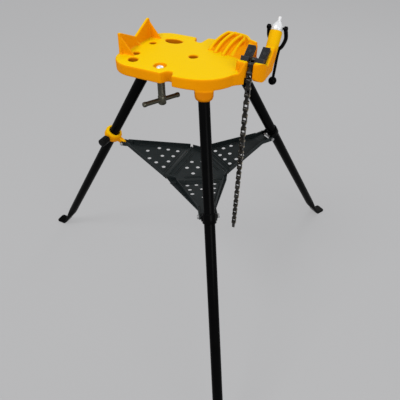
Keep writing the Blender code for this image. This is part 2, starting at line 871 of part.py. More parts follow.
def jaw(name, x, width, sign, length, angle):
    """Toothed insert on one slope of a cheek's V. Its frame runs up the slope."""
    slope = Vector((0, sign * math.cos(angle), math.sin(angle)))
    normal = Vector((0, -sign * math.sin(angle), math.cos(angle)))
    valley = Vector((x, 0, table_height + cheek_valley_height))
    start = jaw_thickness * math.tan(angle) + seat_gap
    teeth = max(2, round(length / jaw_tooth_pitch))
    top = []
    for i in range(teeth):
        s = start + (length - start) * i / teeth
        pitch = (length - start) / teeth
        top += [(s, jaw_thickness), (s + pitch * 0.6, jaw_thickness), (s + pitch * 0.8, jaw_thickness - jaw_tooth_depth)]
    top.append((length, jaw_thickness))
    outline = [(jaw_toe, 0), *top, (length, 0)]
    if sign > 0:
        outline = outline[::-1]
    origin = valley + normal * seat_gap
    block = flat(name, [outline], width, frame(origin, slope, normal, slope.cross(normal)))
    seat = origin + slope * (start + length) / 2
    deep = normal * jaw_screw_recess
    head_room = cylinder("jaw_recess", seat + normal * jaw_thickness - deep, seat + normal * jaw_thickness * 2,
                         jaw_screw_head / 2 + seat_gap, small_sides)
    hole = cylinder("jaw_hole", seat - normal * jaw_thickness, seat + normal * jaw_thickness * 2,
                    jaw_screw_diameter / 2 + seat_gap, small_sides)
    keep(cut(block, head_room, hole), hardened_black)
    return seat, normal


def jaw_screw(name, seat, normal):
    """Socket-head screw that holds a jaw: its head in the recess and its shank in the cheek."""
    head_low = seat + normal * (jaw_thickness - jaw_screw_recess + seat_gap)
    head_top = head_low + normal * (jaw_screw_recess - 2 * seat_gap)
    shank = cylinder(name, seat - normal * (jaw_screw_length - seat_gap), head_low + normal * seat_gap,
                     jaw_screw_diameter / 2, small_sides)
    head = cylinder("jaw_head", head_low, head_top, jaw_screw_head / 2, small_sides)
    return keep(add(shank, head), zinc)


def make_jaws(casting):
    inner_x = slot_near_face - jaw_width_inner / 2 - seat_gap
    outer_x = slot_far_face + jaw_width_outer / 2 + seat_gap
    for cheek, x, width in (("inner", inner_x, jaw_width_inner), ("outer", outer_x, jaw_width_outer)):
        for place, sign, length, angle in (
            ("near", -1, jaw_length_near, jaw_angle_near), ("far", 1, jaw_length_far, jaw_angle_far),
        ):
            seat, normal = jaw(f"{cheek}_{place}_jaw", x, width, sign, length, angle)
            jaw_screw(f"{cheek}_{place}_jaw_screw", seat, normal)
            room = cylinder("jaw_thread", seat - normal * jaw_screw_length, seat + normal * overrun,
                            jaw_screw_diameter / 2 + seat_gap, small_sides)
            cut(casting, room)
    outer_seat = jaw_bed(outer_x)
    cut(casting, *outer_seat)


def jaw_bed(x):
    """Flat bed milled in the housing's foot, so that the far jaw sits clear of it."""
    slope = Vector((0, math.cos(jaw_angle_far), math.sin(jaw_angle_far)))
    normal = Vector((0, -math.sin(jaw_angle_far), math.cos(jaw_angle_far)))
    valley = Vector((x, 0, table_height + cheek_valley_height))
    length = jaw_length_far + seat_gap
    outline = [(0, 0), (length, 0), (length, jaw_thickness * 4), (0, jaw_thickness * 4)]
    wide = jaw_width_outer + 2 * seat_gap
    return [flat("jaw_bed", [outline], wide, frame(valley, slope, normal, slope.cross(normal)))]


# Chain


def over_saddle(angle):
    """Pin place on the circle of pins round the saddle, at an angle from the far side upwards."""
    mid = saddle_radius + chain_plate_height / 2 + saddle_gap
    circle_radius = math.hypot(mid, chain_pitch / 2)
    centre = Vector((slot_x, saddle_y, table_height - saddle_centre_drop))
    return centre + Vector((0, math.cos(angle), math.sin(angle))) * circle_radius


def chain_pins():
    """Places of all pins: the anchor pin, over the saddle, then hanging."""
    mid = saddle_radius + chain_plate_height / 2 + saddle_gap
    step = 2 * math.asin(chain_pitch / 2 / math.hypot(mid, chain_pitch / 2))
    pins = [over_saddle(first_pin_angle + step * i) for i in range(links_over_saddle)]
    anchor = pins[0] + Vector((0, math.sin(anchor_lean), -math.cos(anchor_lean))) * chain_pitch
    pins.insert(0, anchor)
    place = pins[-1]
    for i in range(links_per_run * chain_runs):
        depth = pins[len(pins) - 1].z
        gap = chain_hang_y - place.y
        lean = gap / chain_lean_length * chain_pitch if abs(gap) > running_gap else 0
        lean = max(-chain_pitch, min(chain_pitch, lean))
        place = Vector((slot_x, place.y + lean, depth - math.sqrt(chain_pitch ** 2 - lean ** 2)))
        pins.append(place)
    return pins


def link_outline(shrink=0.0):
    """Side view of a link plate: two round ends and a waist."""
    half = chain_plate_height / 2 - shrink
    points = arc((chain_pitch, 0), half, -math.pi / 2 - link_wrap, math.pi / 2 + link_wrap, 4)
    points.append((chain_pitch / 2, chain_waist / 2))
    points += arc((0, 0), half, math.pi / 2 - link_wrap, 1.5 * math.pi + link_wrap, 4)
    points.append((chain_pitch / 2, -chain_waist / 2))
    return points


def link_frame(start, end):
    """Frame of a link: X towards the next pin, Z along the pins."""
    run = (end - start).normalized()
    return frame(start, run, across.cross(run), across)


def inner_link(place, start_hole, end_hole, tip):
    """Thick inner link, with a hole wherever a pin of another body passes; the last one tapers."""
    hole = chain_pin_diameter / 2 + seat_gap
    holes = []
    if start_hole:
        holes.append(circle((0, 0), hole, 8))
    if tip:
        half = chain_plate_height / 2
        outline = [(chain_pitch * chain_tip_share, -half / 4), (chain_pitch * chain_tip_share, half / 4)]
        outline += arc((0, 0), half, math.pi / 3, 5 * math.pi / 3, 6)
    else:
        outline = link_outline()
        if end_hole:
            holes.append(circle((chain_pitch, 0), hole, 8))
    width = inner_link_width if end_hole or start_hole else riveted_link_width
    return flat("inner_link", [outline, *holes], width, place)


def outer_link(place):
    """Two outer plates, and the two pins that they are riveted to."""
    offset = inner_link_width / 2 + seat_gap + outer_plate_wall / 2
    plates = [
        flat("outer_plate", [link_outline()], outer_plate_wall, place @ Matrix.Translation(up * sign * offset))
        for sign in (-1, 1)
    ]
    pins = []
    for x in (0, chain_pitch):
        low = place @ Vector((x, 0, -chain_pin_length / 2))
        high = place @ Vector((x, 0, chain_pin_length / 2))
        pins.append(cylinder("chain_pin", low, high, chain_pin_diameter / 2, 6))
    return plates, pins


def joined(name, objects):
    """Shapes that don't touch, as one mesh for a Boolean."""
    bm = bmesh.new()
    for obj in objects:
        mesh = obj.data.copy()
        mesh.transform(obj.matrix_world)
        bm.from_mesh(mesh)
        bpy.data.meshes.remove(mesh)
    return mesh_object(name, bm)


def make_chain():
    pins = chain_pins()
    last = len(pins) - 2

    def chain_body(name, first, count):
        blocks, plates, rivets = [], [], []
        for index in range(first, first + count):
            place = link_frame(pins[index], pins[index + 1])
            if index % 2 == 0:
                own_end = index < first + count - 1
                blocks.append(inner_link(place, index == 0, not own_end, index == last))
            else:
                sides, ends = outer_link(place)
                plates += sides
                rivets += ends
        body = joined(name, blocks)
        add(body, joined("plates", plates), joined("rivets", rivets))
        keep(body, chain_black)
        return at_origin(body, pins[first])

    chain_body("chain_start", 0, anchor_link_count)
    ends = [anchor_link_count] + [links_over_saddle + links_per_run * (run + 1) for run in range(chain_runs)]
    for run in range(chain_runs):
        chain_body(f"chain_run_{run + 1}", ends[run], ends[run + 1] - ends[run])
    return pins


# Chain screw, nut, washer, handle


anchor = chain_pins()[0]


def anchor_room():
    """Relief under the outer cheek for the screw's eye and its travel."""
    reach = anchor_eye_diameter / 2 + overrun
    low = anchor - up * cheek_bottom_drop
    centre = Vector((slot_far_face + outer_cheek_wall / 4, anchor.y + overrun, (low.z + anchor.z) / 2 + reach))
    size = (outer_cheek_wall, reach * 2 + overrun * 4, anchor.z - low.z + overrun * 2)
    return box("anchor_room", centre, size)


def make_chain_screw():
    """Threaded screw: a thin stem above, an offset eye below."""
    thread_top = washer_thickness + 2 * seat_gap + nut_thread_depth - running_gap - screw_draw
    stem_top = washer_thickness + 2 * seat_gap + nut_flange_height + nut_dome_height + stem_length
    foot = (anchor.z - housing_top.z) / screw_axis.z
    radius = chain_screw_diameter / 2
    body = cylinder("chain_screw", on_screw(foot + overrun), on_screw(thread_top), radius)
    add(body, cylinder("stem", on_screw(thread_top - overrun), on_screw(stem_top), stem_diameter / 2, small_sides))
    eye_x = slot_far_face + 2 * seat_gap
    eye_end = outer_cheek_x + stem_diameter / 2
    eye = cylinder("anchor_eye", Vector((eye_x, anchor.y, anchor.z)), Vector((eye_end, anchor.y, anchor.z)),
                   anchor_eye_diameter / 2, small_sides + 4)
    add(body, eye)
    hole = cylinder("anchor_hole", Vector((slot_near_face, anchor.y, anchor.z)),
                    Vector((eye_end + overrun, anchor.y, anchor.z)), anchor_pin_diameter / 2 + seat_gap, small_sides)
    cut(body, hole)
    at_origin(keep(body, zinc), on_screw(0))
    start = Vector((slot_x - inner_link_width / 2 - outer_plate_wall, anchor.y, anchor.z))
    pin = cylinder("chain_anchor_pin", start, Vector((eye_end + seat_gap, anchor.y, anchor.z)),
                   chain_pin_diameter / 2, small_sides)
    head = cylinder("anchor_head", Vector((eye_end + seat_gap, anchor.y, anchor.z)),
                    Vector((eye_end + outer_plate_wall, anchor.y, anchor.z)), anchor_pin_head / 2, small_sides)
    at_origin(keep(add(pin, head), zinc), anchor)


def make_nut():
    """Thrust washer and the domed nut that carries the handle."""
    bore = chain_screw_diameter / 2 + running_gap
    low = seat_gap
    washer = turned("thrust_washer", ring_profile(bore, washer_diameter / 2, low, low + washer_thickness, seat_gap),
                    along(housing_top, screw_axis))
    keep(washer, zinc)
    start = low + washer_thickness + seat_gap
    flange = nut_flange_diameter / 2
    top = start + nut_flange_height + nut_dome_height
    shoulder = start + nut_flange_height
    exit_radius = stem_diameter / 2 + seat_gap
    dome = [
        (flange + (nut_dome_diameter / 2 - flange) * (1 - math.cos(a)), shoulder + nut_dome_height * math.sin(a))
        for a in (math.radians(d) for d in (0, 30, 60, 90))
    ]
    profile = [(exit_radius, top)] + dome[::-1] + [
        (flange, start), (bore, start), (bore, start + nut_thread_depth),
        (exit_radius, start + nut_thread_depth), (exit_radius, top),
    ]
    nut = turned("chain_nut", profile, along(housing_top, screw_axis))
    middle = on_screw(start + handle_pivot_height)
    hole_radius = handle_pin_diameter / 2 + seat_gap
    for sign in (-1, 1):
        inner = middle + across * sign * (bore + overrun)
        outer = middle + across * sign * nut_flange_diameter
        cut(nut, cylinder("nut_pin_hole", inner, outer, hole_radius, small_sides))
    keep(nut, zinc)
    return middle


def make_handle(pivot):
    """Wishbone that folds down behind the housing, with a ball at its end."""
    def place(x, offset):
        return pivot + Vector((x, offset[0], offset[1]))

    elbow_x = handle_half_width * 0.97
    path = [
        place(-handle_half_width, (0, 0)), place(-elbow_x, handle_elbow), place(0, handle_join),
        place(elbow_x, handle_elbow), place(handle_half_width, (0, 0)),
    ]
    bow = rod("handle", smooth_run(path, 16), handle_rod_diameter / 2)
    stem = [place(0, handle_join), place(0, handle_ball_place)]
    middle = stem[0].lerp(stem[1], 0.5) + Vector((0, handle_rod_diameter / 4, 0))
    add(bow, rod("handle_stem", smooth_run([stem[0], middle, stem[1]], 6), handle_stem_diameter / 2))
    bm = bmesh.new()
    bmesh.ops.create_uvsphere(bm, u_segments=16, v_segments=10, radius=handle_ball_diameter / 2)
    add(bow, mesh_object("handle_ball", bm, Matrix.Translation(stem[1])))
    for sign in (-1, 1):
        inner = pivot + across * sign * (handle_half_width - handle_eye_width / 2)
        outer = pivot + across * sign * (handle_half_width + handle_eye_width / 2)
        add(bow, cylinder("handle_eye", inner, outer, handle_eye_diameter / 2, small_sides + 4))
    far = across * (handle_half_width + handle_eye_width)
    cut(bow, cylinder("handle_bore", pivot - far, pivot + far, handle_pin_diameter / 2 + seat_gap, small_sides))
    keep(bow, leg_black)
    at_origin(bow, pivot)
    bore = chain_screw_diameter / 2 + running_gap
    for word, sign in (("inner", -1), ("outer", 1)):
        inner = pivot + across * sign * (bore + overrun + seat_gap)
        outer = pivot + across * sign * (handle_half_width + handle_eye_width / 2 + seat_gap)
        head = pivot + across * sign * (handle_half_width + handle_eye_width)
        shank = cylinder(word + "_handle_pin", inner, outer + across * sign * seat_gap, handle_pin_diameter / 2, small_sides)
        add(shank, cylinder("handle_pin_head", outer, head, handle_pin_diameter * 0.8, small_sides))
        at_origin(keep(shank, leg_black), pivot)


# Ceiling-brace screw and its bar


def make_brace():
    radius = brace_screw_diameter / 2
    crown = table_height - brace_cap_drop
    shoulder = crown - brace_cap_height - seat_gap
    head_top = table_height - brace_head_top_drop
    head_low = head_top - brace_head_height
    spigot = brace_spigot_diameter / 2
    spigot_top = shoulder + brace_spigot_height
    dome = [
        (radius * math.sin(a), crown - brace_dome_height * (1 - math.cos(a)))
        for a in (math.radians(d) for d in (0, 25, 50, 75, 90))
    ]
    head = brace_head_diameter / 2
    chamfer = overrun / 2
    profile = [
        (0, spigot_top), (spigot, spigot_top), (spigot, shoulder), (radius, shoulder), (radius, head_top), (head - chamfer, head_top), (head, head_top - chamfer), (head, head_low + chamfer),
        (head - chamfer, head_low), (0, head_low),
    ]
    low = crown - brace_cap_height
    cap_profile = dome + [
        (radius, low), (spigot + seat_gap, low), (spigot + seat_gap, spigot_top + seat_gap),
        (0, spigot_top + seat_gap),
    ]
    place = Matrix.Translation(Vector((brace_x, brace_y, 0)))
    keep(turned("brace_cap", cap_profile, place), zinc)
    screw = turned("brace_screw", profile, place)
    run = Vector((math.cos(brace_bar_angle), math.sin(brace_bar_angle), 0))
    middle = Vector((brace_x, brace_y, (head_top + head_low) / 2))
    hole = brace_bar_diameter / 2 + seat_gap
    cut(screw, cylinder("bar_hole", middle - run * brace_head_diameter, middle + run * brace_head_diameter, hole,
                        hole_sides))
    keep(screw, dark_steel)
    centre = middle - run * brace_bar_offset
    half = brace_bar_length / 2
    bar_radius = brace_bar_diameter / 2
    bar = turned(
        "brace_bar",
        [
            (0, half), (bar_radius - bar_end_collar, half), (bar_radius, half - bar_end_collar),
            (bar_radius, -half + bar_end_collar), (bar_radius - bar_end_collar, -half), (0, -half),
        ],
        along(centre, run), hole_sides,
    )
    keep(bar, dark_steel)


# Tray


def leg_point(name, height):
    """Point on a leg's axis at a height."""
    pivot, down, outward, side, radius = legs[name]
    return pivot + down * ((pivot.z - height) / -down.z)


tray_height = table_height - tray_drop


def leaf_frame(name):
    """Frame of a tray leaf: origin in the middle of its hinge at the centre panel, X out along the leaf to its tip
    pivot, Y along the hinge, Z up from the sheet."""
    pivot, down, outward, side, radius = legs[name]
    origin = stand_centre + outward * hub_hinge_radius + up * tray_height
    tip = leaf_tip(name)
    x_axis = (tip - origin).normalized()
    return frame(origin, x_axis, side, x_axis.cross(side)), (tip - origin).length


def leaf_tip(name):
    """Tip pivot of a leaf: beside the leg for the clamps, on the collar's lug for the rear leaf."""
    pivot, down, outward, side, radius = legs[name]
    if name == "rear":
        return leg_point(name, rear_eye_height) - outward * collar_lug_reach
    height = near_clamp_height if name == "near" else far_clamp_height
    return leg_point(name, height) - outward * clamp_pivot_inset


def hinge_width(name):
    return hub_rear_hinge if name == "rear" else hub_front_hinge


def folded_sheet(name, corners, rims, matrix):
    """Sheet panel with upstanding rims on chosen sides, bent from one thickness of metal."""
    bm = bmesh.new()
    base = [bm.verts.new((x, y, -sheet / 2)) for x, y in corners]
    bm.faces.new(base)
    tops = {}

    def raised(index):
        if index not in tops:
            x, y = corners[index]
            tops[index] = bm.verts.new((x, y, tray_rim_height))
        return tops[index]

    count = len(corners)
    for index in rims:
        nxt = (index + 1) % count
        bm.faces.new((base[nxt], base[index], raised(index), raised(nxt)))
    bmesh.ops.recalc_face_normals(bm, faces=bm.faces)
    if bm.faces[0].normal.z > 0:
        bmesh.ops.reverse_faces(bm, faces=bm.faces)
    panel = mesh_object(name, bm, matrix)
    wall = panel.modifiers.new("sheet", "SOLIDIFY")
    wall.thickness = sheet
    wall.offset = -1
    wall.use_even_offset = True
    wall.use_quality_normals = True
    return panel


def knuckle(name, centre, length, inward, matrix):
    """Rolled hinge barrel with the tail that joins it to its panel."""
    radius = hinge_barrel_diameter / 2
    half = sheet / 2 - seat_gap
    reach = hinge_tail
    opening = math.asin(half / radius)
    outline = arc((0, 0), radius, opening, 2 * math.pi - opening, 10)
    outline += [(reach, -half), (reach, half)]
    if inward:
        outline = [(-x, y) for x, y in outline][::-1]
    hole = circle((0, 0), hinge_pin_diameter / 2 + seat_gap, 8)
    place = matrix @ Matrix.Translation(Vector((0, centre, 0)))
    barrel = frame(Vector((0, 0, 0)), across, up, Vector((0, -1, 0)))
    return flat(name, [outline, hole], length, place @ barrel)


def hinge_gap(name):
    return hinge_barrel_diameter / 2 + running_gap * 2


def hole_set(name, places, diameter, matrix):
    """Cutter with one short cylinder for each hole of a panel."""
    bm = bmesh.new()
    for x, y in places:
        bmesh.ops.create_cone(
            bm, cap_ends=True, segments=8, radius1=diameter / 2, radius2=diameter / 2, depth=sheet * 4,
            matrix=Matrix.Translation(Vector((x, y, 0))),
        )
    return mesh_object(name, bm, matrix)


def leaf_hole_places(length, half_root, half_tip):
    """Rows of holes that narrow with the leaf."""
    rows = ((0.16, 4), (0.32, 3), (0.47, 2), (0.6, 1))
    places = []
    for share, count in rows:
        x = length * share
        half = (half_root + (half_tip - half_root) * share) * 0.62
        for i in range(count):
            y = 0 if count == 1 else -half + 2 * half * i / (count - 1)
            places.append((x, y))
    return places


def make_leaf(name):
    matrix, reach = leaf_frame(name)
    pivot, down, outward, side, radius = legs[name]
    width = hinge_width(name)
    start = hinge_gap(name)
    arm_inner = arm_half_width(name)
    plate_end = reach - plate_set_back(name)
    half_tip = arm_inner + arm_wall / 2
    half_root = width / 2
    corners = [(start, -half_root), (plate_end, -half_tip), (plate_end, half_tip), (start, half_root)]
    leaf = folded_sheet(name + "_leaf", corners, (0, 2), matrix)
    arm_start = plate_end - arm_height
    for sign in (-1, 1):
        tip_arc = arc((reach, 0), arm_height / 2, -math.pi / 2, math.pi / 2, 5)
        outline = [(arm_start, seat_gap - sheet / 2), *tip_arc, (arm_start, arm_root_height)]
        hole = circle((reach, 0), clamp_bolt_diameter / 2 + seat_gap, 8)
        y = sign * (arm_inner + arm_wall / 2)
        local = frame(Vector((0, y, 0)), across, up, Vector((0, -1, 0)))
        add(leaf, flat("leaf_arm", [outline, hole], arm_wall, matrix @ local))
    barrel = width * hinge_barrel_share
    for sign in (-1, 1):
        place = sign * (width / 2 - barrel / 2)
        add(leaf, knuckle("leaf_knuckle", place, barrel, False, matrix))
    cut(leaf, hole_set("leaf_holes", leaf_hole_places(plate_end, half_root, half_tip), tray_hole_diameter, matrix))
    keep(leaf, tray_grey)
    hinge = matrix.translation
    return at_origin(leaf, hinge)


def arm_half_width(name):
    """Half the clear width between a leaf's arms."""
    pivot, down, outward, side, radius = legs[name]
    if name == "rear":
        return collar_lug_wall / 2 + arm_gap
    return radius + clamp_wall + clamp_lug + arm_gap


def plate_set_back(name):
    """Distance from a leaf's tip pivot back to the end of its plate."""
    pivot, down, outward, side, radius = legs[name]
    if name == "rear":
        return collar_lug_height
    return radius + clamp_wall + clamp_pivot_inset / 2


def hinge_corner(name, sign):
    """Corner of the centre panel beside one end of a hinge."""
    pivot, down, outward, side, radius = legs[name]
    radial = hub_hinge_radius - hinge_gap(name)
    place = outward * radial + side * sign * hinge_width(name) / 2
    return (place.x, place.y)


def make_hub():
    """Centre panel: a hexagon with three hinge sides and three rimmed short sides."""
    corners = [
        hinge_corner("far", -1), hinge_corner("far", 1), hinge_corner("rear", -1), hinge_corner("rear", 1),
        hinge_corner("near", -1), hinge_corner("near", 1),
    ]
    centre = stand_centre + up * tray_height
    hub = folded_sheet("tray_centre", corners, (1, 3, 5), Matrix.Translation(centre))
    for name in legs:
        pivot, down, outward, side, radius = legs[name]
        matrix = frame(centre + outward * hub_hinge_radius, outward, side, up)
        width = hinge_width(name)
        length = width * (1 - 2 * hinge_barrel_share) - 2 * running_gap
        add(hub, knuckle("hub_knuckle", 0, length, True, matrix))
    spread = hub_hinge_radius * 0.52
    places = [(0, 0)]
    for turn in range(6):
        angle = math.pi / 3 * turn + math.pi / 6
        places.append((spread * math.cos(angle), spread * math.sin(angle)))
    cut(hub, hole_set("hub_holes", places, tray_hole_diameter, Matrix.Translation(centre)))
    return keep(hub, tray_grey)


def make_hinge_pins():
    for name in legs:
        pivot, down, outward, side, radius = legs[name]
        centre = stand_centre + outward * hub_hinge_radius + up * tray_height
        half = side * hinge_width(name) / 2
        pin = cylinder(name + "_tray_hinge_pin", centre - half, centre + half, hinge_pin_diameter / 2, 8)
        at_origin(keep(pin, dark_steel), centre)


def make_clamp(name):
    """Band round a leg with a flat boss and a bolt on each side, for the leaf's arms."""
    pivot, down, outward, side, radius = legs[name]
    tip = leaf_tip(name)
    on_leg = leg_point(name, near_clamp_height if name == "near" else far_clamp_height)
    bore = radius + seat_gap
    outer = radius + clamp_wall
    foot = (tip - on_leg).dot(down)
    band_centre = on_leg + down * foot
    low = -clamp_length / 2
    band = turned(name + "_leg_clamp", ring_profile(bore, outer, low, clamp_length / 2, clamp_wall / 3),
                  along(band_centre, down, side))
    tab_half = outer + clamp_lug
    inward = -down.cross(side)
    if inward.dot(outward) > 0:
        inward = -inward
    reach = (tip - band_centre).dot(inward)
    for sign in (-1, 1):
        thickness = clamp_wall + clamp_lug
        middle = band_centre + side * sign * (tab_half - thickness / 2)
        half = clamp_boss_diameter / 2
        outline = [(0, -half), *arc((reach, 0), half, -math.pi / 2, math.pi / 2, 6), (0, half)]
        tab = flat("clamp_tab", [outline], thickness, frame(middle, inward, inward.cross(side) * -1, side))
        add(band, tab)
    cut(band, cylinder("clamp_bore", band_centre - down * clamp_length, band_centre + down * clamp_length, bore))
    hole = clamp_bolt_diameter / 2 + seat_gap
    cut(band, cylinder("clamp_hole", tip - side * outer * 2, tip + side * outer * 2, hole, small_sides))
    keep(band, leg_black)
    through_bolt(name + "_clamp_bolt", tip, side, tab_half + arm_gap + arm_wall + seat_gap)


def through_bolt(name, centre, direction, half_grip):
    """Bolt with its head and its nut, across a grip of twice this length."""
    reach = direction * (half_grip + overrun)
    shank = cylinder(name, centre - reach, centre + reach, clamp_bolt_diameter / 2, small_sides)
    for sign in (-1, 1):
        low = centre + direction * sign * half_grip
        high = centre + direction * sign * (half_grip + clamp_bolt_head_height)
        add(shank, cylinder("bolt_head", low, high, clamp_bolt_head / 2, 6))
    return at_origin(keep(shank, zinc), centre)


def make_collar():
    """Sliding collar on the rear leg: a rounded ring with a lug for the tray, an eye bolt and a lock knob."""
    pivot, down, outward, side, radius = legs["rear"]
    tip = leaf_tip("rear")
    on_leg = leg_point("rear", rear_eye_height)
    centre = on_leg + down * (tip - on_leg).dot(down)
    bore = radius + collar_bore_gap
    half = collar_length / 2
    ring_body = turned("rear_collar", ring_profile(bore, collar_diameter / 2, -half, half, collar_length * collar_round_share),
                       along(centre, down, side))
    inward = (tip - centre).normalized()
    lug_half = collar_lug_height / 2
    reach = (tip - centre).length
    outline = [(bore, -lug_half), *arc((reach, 0), lug_half, -math.pi / 2, math.pi / 2, 6), (bore, lug_half)]
    lug = flat("collar_lug", [outline], collar_lug_wall, frame(centre, inward, inward.cross(side) * -1, side))
    add(ring_body, lug)
    cut(ring_body, cylinder("collar_bore", centre - down * collar_length, centre + down * collar_length, bore))
    stud = knob_stud_diameter / 2 + seat_gap
    cut(ring_body, cylinder("stud_hole", centre, centre + side * knob_sign() * collar_diameter, stud, small_sides))
    hole = clamp_bolt_diameter / 2 + seat_gap
    cut(ring_body, cylinder("lug_hole", tip - side * collar_diameter, tip + side * collar_diameter, hole, small_sides))
    keep(ring_body, cast_yellow)
    at_origin(ring_body, centre)
    out = side * knob_sign()
    stud_start = centre + out * (radius + collar_bore_gap)
    knob_start = centre + out * (collar_diameter / 2 + knob_stand_off)
    stud_body = cylinder("lock_knob", stud_start, knob_start + out * overrun, knob_stud_diameter / 2, small_sides)
    knob_body = cylinder("knob_body", knob_start, knob_start + out * knob_length, knob_diameter / 2, 18)
    add(stud_body, bevel(knob_body, knob_stand_off / 3, 2))
    at_origin(keep(stud_body, leg_black), centre)
    through_bolt("rear_link_bolt", tip, side, arm_half_width("rear") + arm_wall + seat_gap)


def knob_sign():
    """The lock knob is on the near side of the rear leg."""
    pivot, down, outward, side, radius = legs["rear"]
    return 1 if side.y < 0 else -1


casting_object = make_casting()
make_jaws(casting_object)
make_chain()
make_chain_screw()
handle_pivot = make_nut()
make_handle(handle_pivot)
make_brace()
for leg_name in legs:
    leg_tube(leg_name)
    leg_pin(leg_name)
make_hub()
for leg_name in legs:
    make_leaf(leg_name)
make_hinge_pins()
make_clamp("near")
make_clamp("far")
make_collar()

for part in parts.objects:
    part.data.shade_smooth()
    part.data.set_sharp_from_angle(angle=math.radians(35))
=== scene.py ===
# Tripod chain vise, dressed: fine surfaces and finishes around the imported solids
import json
import math
import bmesh
import bpy
import numpy as np
from mathutils import Matrix


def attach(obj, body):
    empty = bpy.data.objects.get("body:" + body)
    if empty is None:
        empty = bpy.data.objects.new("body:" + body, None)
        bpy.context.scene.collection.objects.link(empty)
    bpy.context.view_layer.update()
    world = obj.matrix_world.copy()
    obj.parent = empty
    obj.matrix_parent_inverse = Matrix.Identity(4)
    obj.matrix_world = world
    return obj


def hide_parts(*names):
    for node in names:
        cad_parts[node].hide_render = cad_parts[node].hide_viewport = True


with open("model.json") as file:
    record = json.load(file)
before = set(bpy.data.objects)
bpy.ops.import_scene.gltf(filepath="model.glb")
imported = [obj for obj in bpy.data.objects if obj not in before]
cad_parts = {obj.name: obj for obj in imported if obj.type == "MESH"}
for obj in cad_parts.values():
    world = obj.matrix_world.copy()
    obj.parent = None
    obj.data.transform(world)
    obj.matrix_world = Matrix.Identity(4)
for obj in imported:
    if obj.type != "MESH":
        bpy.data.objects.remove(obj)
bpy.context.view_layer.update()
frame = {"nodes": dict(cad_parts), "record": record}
scene = bpy.context.scene
print("frame loaded:", len(frame["nodes"]), "nodes")

# Camera: the photograph's viewpoint, solved from the three legs
camera = dict(place=(0.5324, -0.7812, 1.2032), lens=32.94, sensor=36.0, pitch=0.7493, yaw=0.439, roll=0.0129)
cameraData = bpy.data.cameras.new("viewCamera")
cameraData.sensor_width = camera["sensor"]
cameraData.lens = camera["lens"]
cameraData.clip_start = 0.01
viewCamera = bpy.data.objects.new("viewCamera", cameraData)
scene.collection.objects.link(viewCamera)
viewCamera.matrix_world = (
    Matrix.Translation(camera["place"])
    @ Matrix.Rotation(camera["yaw"], 4, "Z")
    @ Matrix.Rotation(math.pi / 2 - camera["pitch"], 4, "X")
    @ Matrix.Rotation(camera["roll"], 4, "Z")
)
scene.camera = viewCamera

# Studio: pale grey floor, even sky and three soft lamps
studio = dict(
    backdrop=(0.470, 0.470, 0.476), shadowShare=0.22, floorSize=30.0, floorDrop=0.0005,
    sky=(0.93, 0.94, 0.95), skyStrength=0.62,
    lamps=dict(
        key=dict(place=(-1.0, -1.8, 3.8), aim=(0.1, 0.0, 0.7), size=1.4, power=68.0),
        fill=dict(place=(2.6, -1.8, 2.0), aim=(0.1, 0.0, 0.7), size=2.0, power=38.0),
        back=dict(place=(0.4, 2.8, 2.6), aim=(0.1, 0.0, 0.7), size=1.6, power=24.0),
    ),
)


def newMaterial(name):
    material = bpy.data.materials.new(name)
    material.use_nodes = True
    tree = material.node_tree
    return material, tree, tree.nodes["Principled BSDF"]


def wire(tree, source, target):
    tree.links.new(source, target)


def mathNode(tree, operation, first, second=None, clamp=False):
    node = tree.nodes.new("ShaderNodeMath")
    node.operation = operation
    node.use_clamp = clamp
    for socket, value in zip(node.inputs, (first, second)):
        if value is None:
            continue
        if isinstance(value, (int, float)):
            socket.default_value = value
        else:
            wire(tree, value, socket)
    return node.outputs[0]


def fill(node, values):
    for title, value in values.items():
        node.inputs[title].default_value = value


def plainNode(tree, kind):
    node = tree.nodes.new(kind)
    fill(node, {"Color": (*studio["backdrop"], 1)})
    return node


def mixShaders(tree, factor, first, second, target):
    blend = tree.nodes.new("ShaderNodeMixShader")
    for socket, source in zip(blend.inputs, (factor, first.outputs[0], second.outputs[0])):
        wire(tree, source, socket)
    wire(tree, blend.outputs[0], target.inputs["Surface"])


